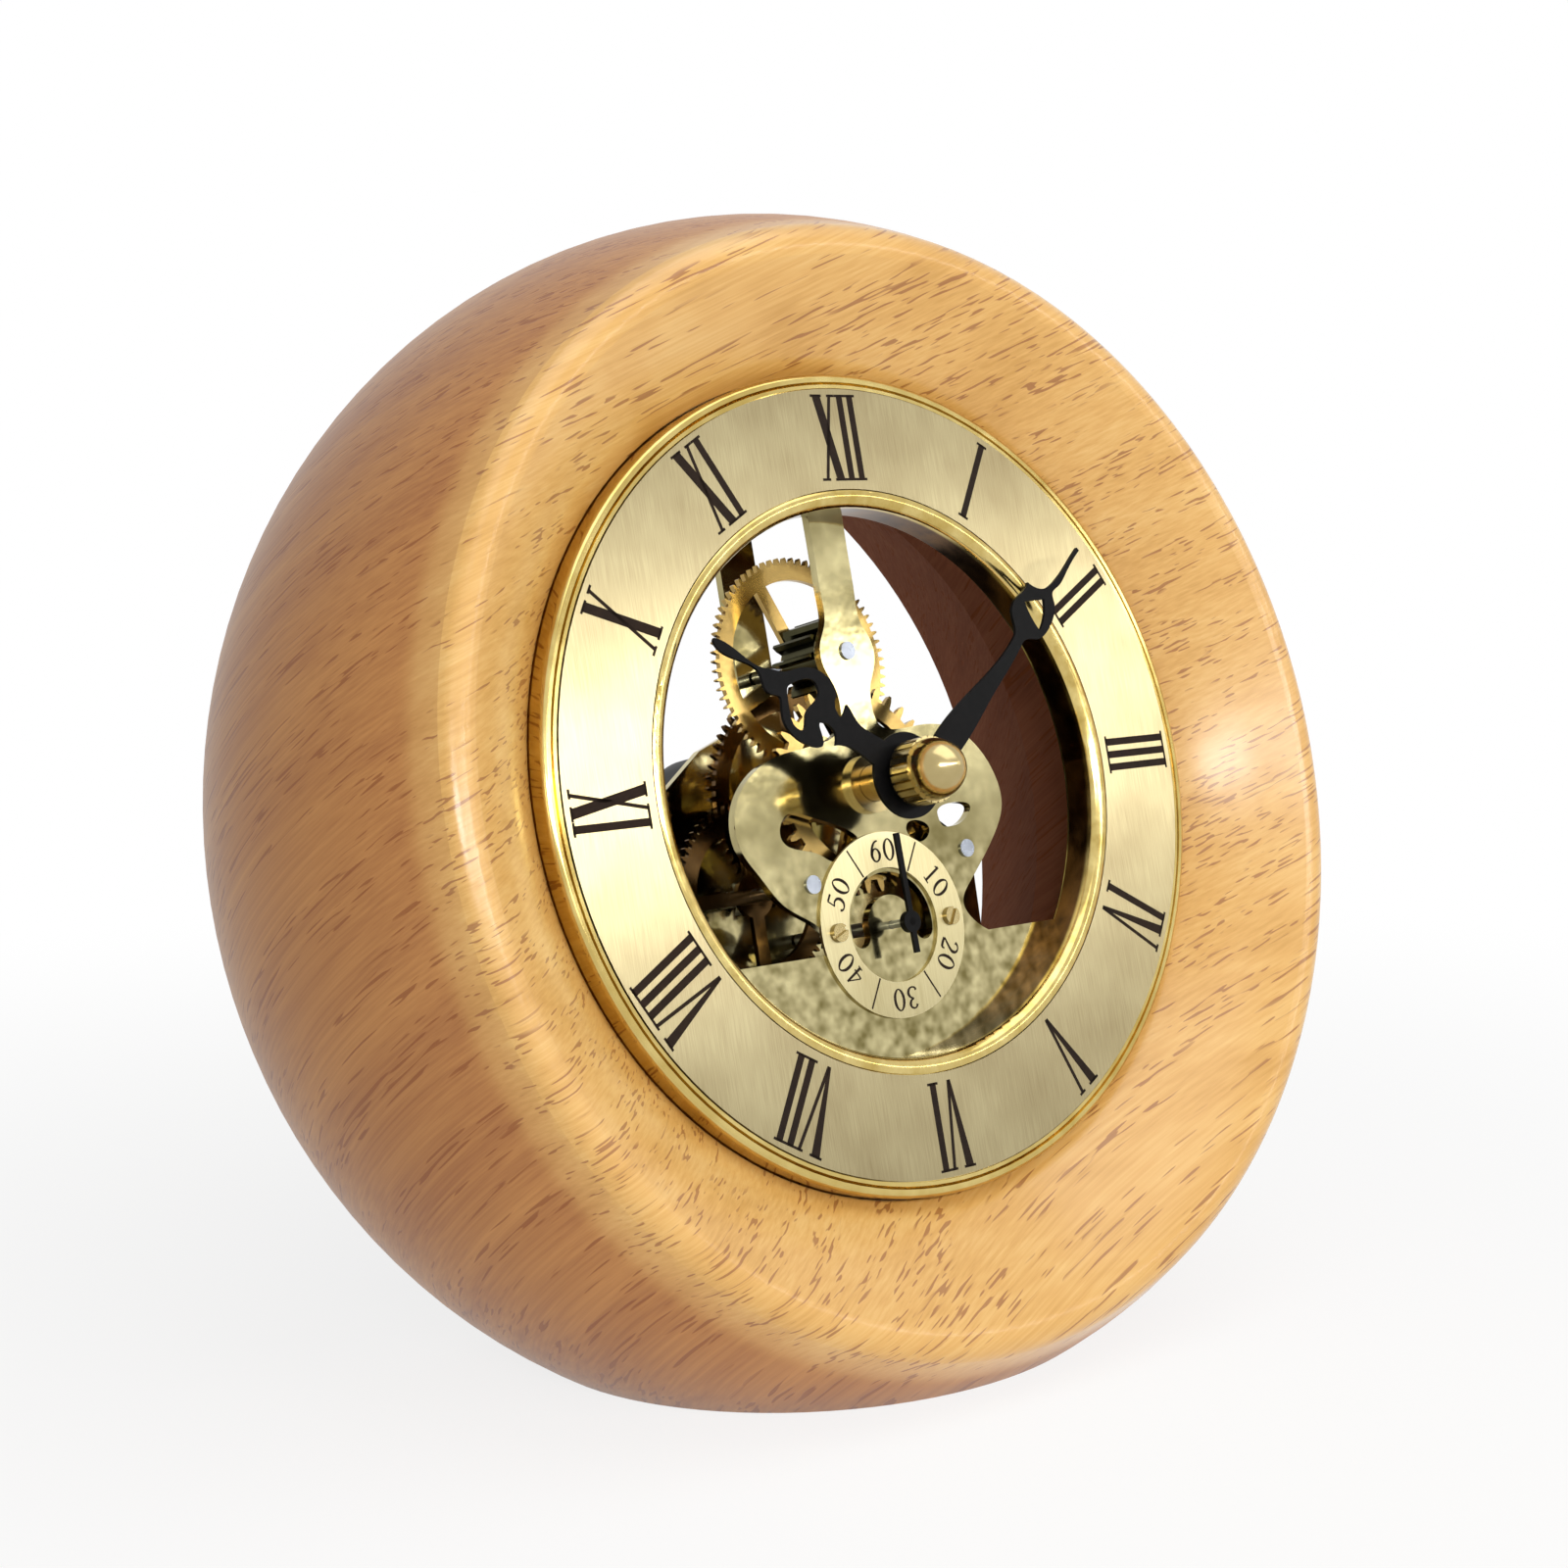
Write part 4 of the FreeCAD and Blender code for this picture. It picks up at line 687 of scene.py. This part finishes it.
# Shares of a digit's height: its middle, and the points of its pen strokes, each given as
# across, up and half the nib's width
digitMiddle = 0.3
digitShares = {
    "0": [
        [(0.30, 0.97, 0.03), (0.42, 0.90, 0.045), (0.52, 0.72, 0.065), (0.55, 0.50, 0.07),
         (0.52, 0.28, 0.065), (0.42, 0.10, 0.045), (0.30, 0.03, 0.03), (0.18, 0.10, 0.045),
         (0.08, 0.28, 0.065), (0.05, 0.50, 0.07), (0.08, 0.72, 0.065), (0.18, 0.90, 0.045)],
    ],
    "1": [
        [(0.32, 0.98, 0.06), (0.32, 0.02, 0.06)],
        [(0.16, 0.86, 0.03), (0.32, 0.93, 0.05)],
        [(0.14, 0.03, 0.03), (0.50, 0.03, 0.03)],
    ],
    "2": [
        [(0.08, 0.74, 0.07), (0.12, 0.88, 0.04), (0.28, 0.96, 0.035), (0.44, 0.90, 0.055),
         (0.50, 0.74, 0.07), (0.44, 0.56, 0.06), (0.26, 0.32, 0.045), (0.08, 0.09, 0.04)],
        [(0.08, 0.06, 0.06), (0.48, 0.06, 0.06), (0.54, 0.22, 0.03)],
    ],
    "3": [
        [(0.09, 0.80, 0.06), (0.14, 0.91, 0.04), (0.28, 0.96, 0.035), (0.42, 0.90, 0.05),
         (0.47, 0.76, 0.065), (0.40, 0.60, 0.05), (0.24, 0.54, 0.03)],
        [(0.24, 0.53, 0.03), (0.42, 0.46, 0.05), (0.52, 0.28, 0.07), (0.44, 0.10, 0.05),
         (0.28, 0.03, 0.035), (0.12, 0.07, 0.045), (0.07, 0.18, 0.06)],
    ],
    "4": [
        [(0.42, 0.97, 0.05), (0.42, 0.03, 0.065)],
        [(0.42, 0.95, 0.03), (0.06, 0.34, 0.03)],
        [(0.04, 0.31, 0.035), (0.56, 0.31, 0.035)],
        [(0.28, 0.03, 0.03), (0.54, 0.03, 0.03)],
    ],
    "5": [
        [(0.50, 0.94, 0.05), (0.16, 0.94, 0.05)],
        [(0.15, 0.96, 0.03), (0.11, 0.52, 0.03)],
        [(0.11, 0.53, 0.03), (0.28, 0.60, 0.04), (0.46, 0.52, 0.06), (0.52, 0.32, 0.07),
         (0.44, 0.12, 0.055), (0.28, 0.03, 0.035), (0.12, 0.07, 0.045), (0.07, 0.18, 0.06)],
    ],
    "6": [
        [(0.48, 0.94, 0.04), (0.30, 0.88, 0.045), (0.14, 0.66, 0.06), (0.07, 0.36, 0.07),
         (0.10, 0.20, 0.065)],
        [(0.30, 0.60, 0.035), (0.44, 0.52, 0.05), (0.52, 0.32, 0.07), (0.44, 0.11, 0.05),
         (0.30, 0.03, 0.035), (0.16, 0.10, 0.05), (0.08, 0.30, 0.065), (0.16, 0.52, 0.05)],
    ],
}
closedStrokes = {("0", 0), ("6", 1)}


def smoothStroke(points, closed):
    # Two more points on every span of a curved stroke, by a Catmull-Rom curve
    if len(points) == 2:
        return points
    count = len(points)
    result = []
    for index in range(count if closed else count - 1):
        spots = [index + step for step in (-1, 0, 1, 2)]
        if closed:
            spots = [spot % count for spot in spots]
        else:
            spots = [min(max(spot, 0), count - 1) for spot in spots]
        before, start, end, after = [Vector(points[spot]) for spot in spots]
        for share in (0, 1 / 3, 2 / 3):
            point = 2 * start + (end - before) * share
            point += (2 * before - 5 * start + 4 * end - after) * share ** 2
            point += (3 * start - before - 3 * end + after) * share ** 3
            result.append(tuple(0.5 * point))
    if not closed:
        result.append(points[-1])
    return result


def addSecondsFigures():
    across, up = secondsLook["centre"]
    top = secondsLook["face"] + secondsLook["raise"]
    tall = secondsLook["tall"]
    for figure, word in enumerate(("60", "10", "20", "30", "40", "50")):
        mesh = bmesh.new()
        place = turnedPlace(across, up, figure * 60, secondsLook["inner"])
        for side, digit in zip((-0.5, 0.5), word):
            left = side * secondsLook["pitch"] - digitMiddle * tall
            for number, stroke in enumerate(digitShares[digit]):
                closed = (digit, number) in closedStrokes
                points = [(left + x * tall, y * tall, half * tall)
                          for x, y, half in smoothStroke(stroke, closed)]
                addRibbon(mesh, points, place, secondsLook["face"], top, closed)
        newPiece("seconds_figure_" + word, mesh, finishes["numeralInk"], "case")
    mesh = bmesh.new()
    half = secondsLook["dividerHalf"]
    for degrees in secondsLook["dividers"]:
        place = turnedPlace(across, up, degrees, 0)
        low, high = secondsLook["dividerFrom"], secondsLook["dividerTo"]
        corners = [(-half, low), (half, low), (half, high), (-half, high)]
        addPrism(mesh, corners, place, secondsLook["face"], top)
    newPiece("seconds_dividers", mesh, finishes["numeralInk"], "case")


addSecondsFigures()
print("seconds dial printed")

# Studio: lengths in metres, powers in watts
studio = {
    "floorHalf": 3.0,
    "floorColour": "F4F3F1",
    "floorRough": 0.9,
    "roomLevel": 0.26,
    "fadeFrom": 0.09,
    "fadeTo": 0.34,
    "floorGlow": 0.82,
    "lamps": {
        "keyBox": {"toward": (-0.49, -0.81, 0.32), "far": 0.7, "wide": 0.24, "tall": 0.08,
                   "power": 1.5},
        "frontBox": {"toward": (0.02, -0.94, 0.32), "far": 0.7, "wide": 0.5, "tall": 0.08,
                     "power": 1.6},
        "bandBox": {"toward": (0.55, -0.78, 0.31), "far": 0.7, "wide": 0.6, "tall": 0.03,
                    "power": 0.4},
        "topBox": {"toward": (0.1, -0.3, 0.95), "far": 0.8, "wide": 0.8, "tall": 0.7,
                   "power": 2.8},
    },
}


def addFloor():
    mesh = bmesh.new()
    half = studio["floorHalf"]
    mesh.faces.new([mesh.verts.new(corner) for corner in
                    ((-half, -half, 0), (half, -half, 0), (half, half, 0), (-half, half, 0))])
    data = bpy.data.meshes.new("floor")
    mesh.to_mesh(data)
    mesh.free()
    floor = bpy.data.objects.new("floor", data)
    bpy.context.scene.collection.objects.link(floor)
    pale = Finish("paleFloor", studio["floorRough"])
    pale.shader.inputs["Base Color"].default_value = paint(studio["floorColour"])
    pale.shader.inputs["Specular IOR Level"].default_value = 0
    glow = pale.nodes.new("ShaderNodeEmission")
    glow.inputs["Color"].default_value = (1, 1, 1, 1)
    glow.inputs["Strength"].default_value = 1.0
    rays = pale.nodes.new("ShaderNodeLightPath")
    seen = pale.math("MAXIMUM", rays.outputs["Is Camera Ray"], rays.outputs["Is Glossy Ray"])
    blend = pale.nodes.new("ShaderNodeMixShader")
    # Near the clock the floor keeps its shadow, and further off it meets the white room
    length = pale.nodes.new("ShaderNodeVectorMath")
    length.operation = "LENGTH"
    pale.join(pale.spot, length.inputs[0])
    fade = pale.step(length.outputs["Value"], studio["fadeFrom"], studio["fadeTo"],
                     studio["floorGlow"], 1.0)
    pale.join(pale.math("MULTIPLY", seen, fade), blend.inputs["Fac"])
    pale.join(pale.shader.outputs["BSDF"], blend.inputs[1])
    pale.join(glow.outputs["Emission"], blend.inputs[2])
    pale.join(blend.outputs["Shader"], pale.nodes["Material Output"].inputs["Surface"])
    data.materials.append(pale.material)


def addRoom():
    world = bpy.data.worlds.new("room")
    bpy.context.scene.world = world
    world.use_nodes = True
    nodes, links = world.node_tree.nodes, world.node_tree.links
    back = nodes["Background"]
    back.inputs["Color"].default_value = (1, 1, 1, 1)
    rays = nodes.new("ShaderNodeLightPath")
    seen = nodes.new("ShaderNodeMath")
    seen.operation = "MAXIMUM"
    links.new(rays.outputs["Is Camera Ray"], seen.inputs[0])
    links.new(rays.outputs["Is Glossy Ray"], seen.inputs[1])
    level = nodes.new("ShaderNodeMapRange")
    links.new(seen.outputs[0], level.inputs["Value"])
    level.inputs["To Min"].default_value = studio["roomLevel"]
    level.inputs["To Max"].default_value = 1.0
    links.new(level.outputs["Result"], back.inputs["Strength"])


def addLamps():
    for name, lamp in studio["lamps"].items():
        light = bpy.data.lights.new(name, "AREA")
        light.shape = "RECTANGLE"
        light.size = lamp["wide"]
        light.size_y = lamp["tall"]
        light.energy = lamp["power"]
        place = bpy.data.objects.new(name, light)
        bpy.context.scene.collection.objects.link(place)
        toward = Vector(lamp["toward"]).normalized()
        place.location = dial["centre"] + toward * lamp["far"]
        place.rotation_euler = toward.to_track_quat("Z", "Y").to_euler()


addFloor()
addRoom()
addLamps()
bpy.context.scene.view_settings.view_transform = "Standard"
print("studio lit")
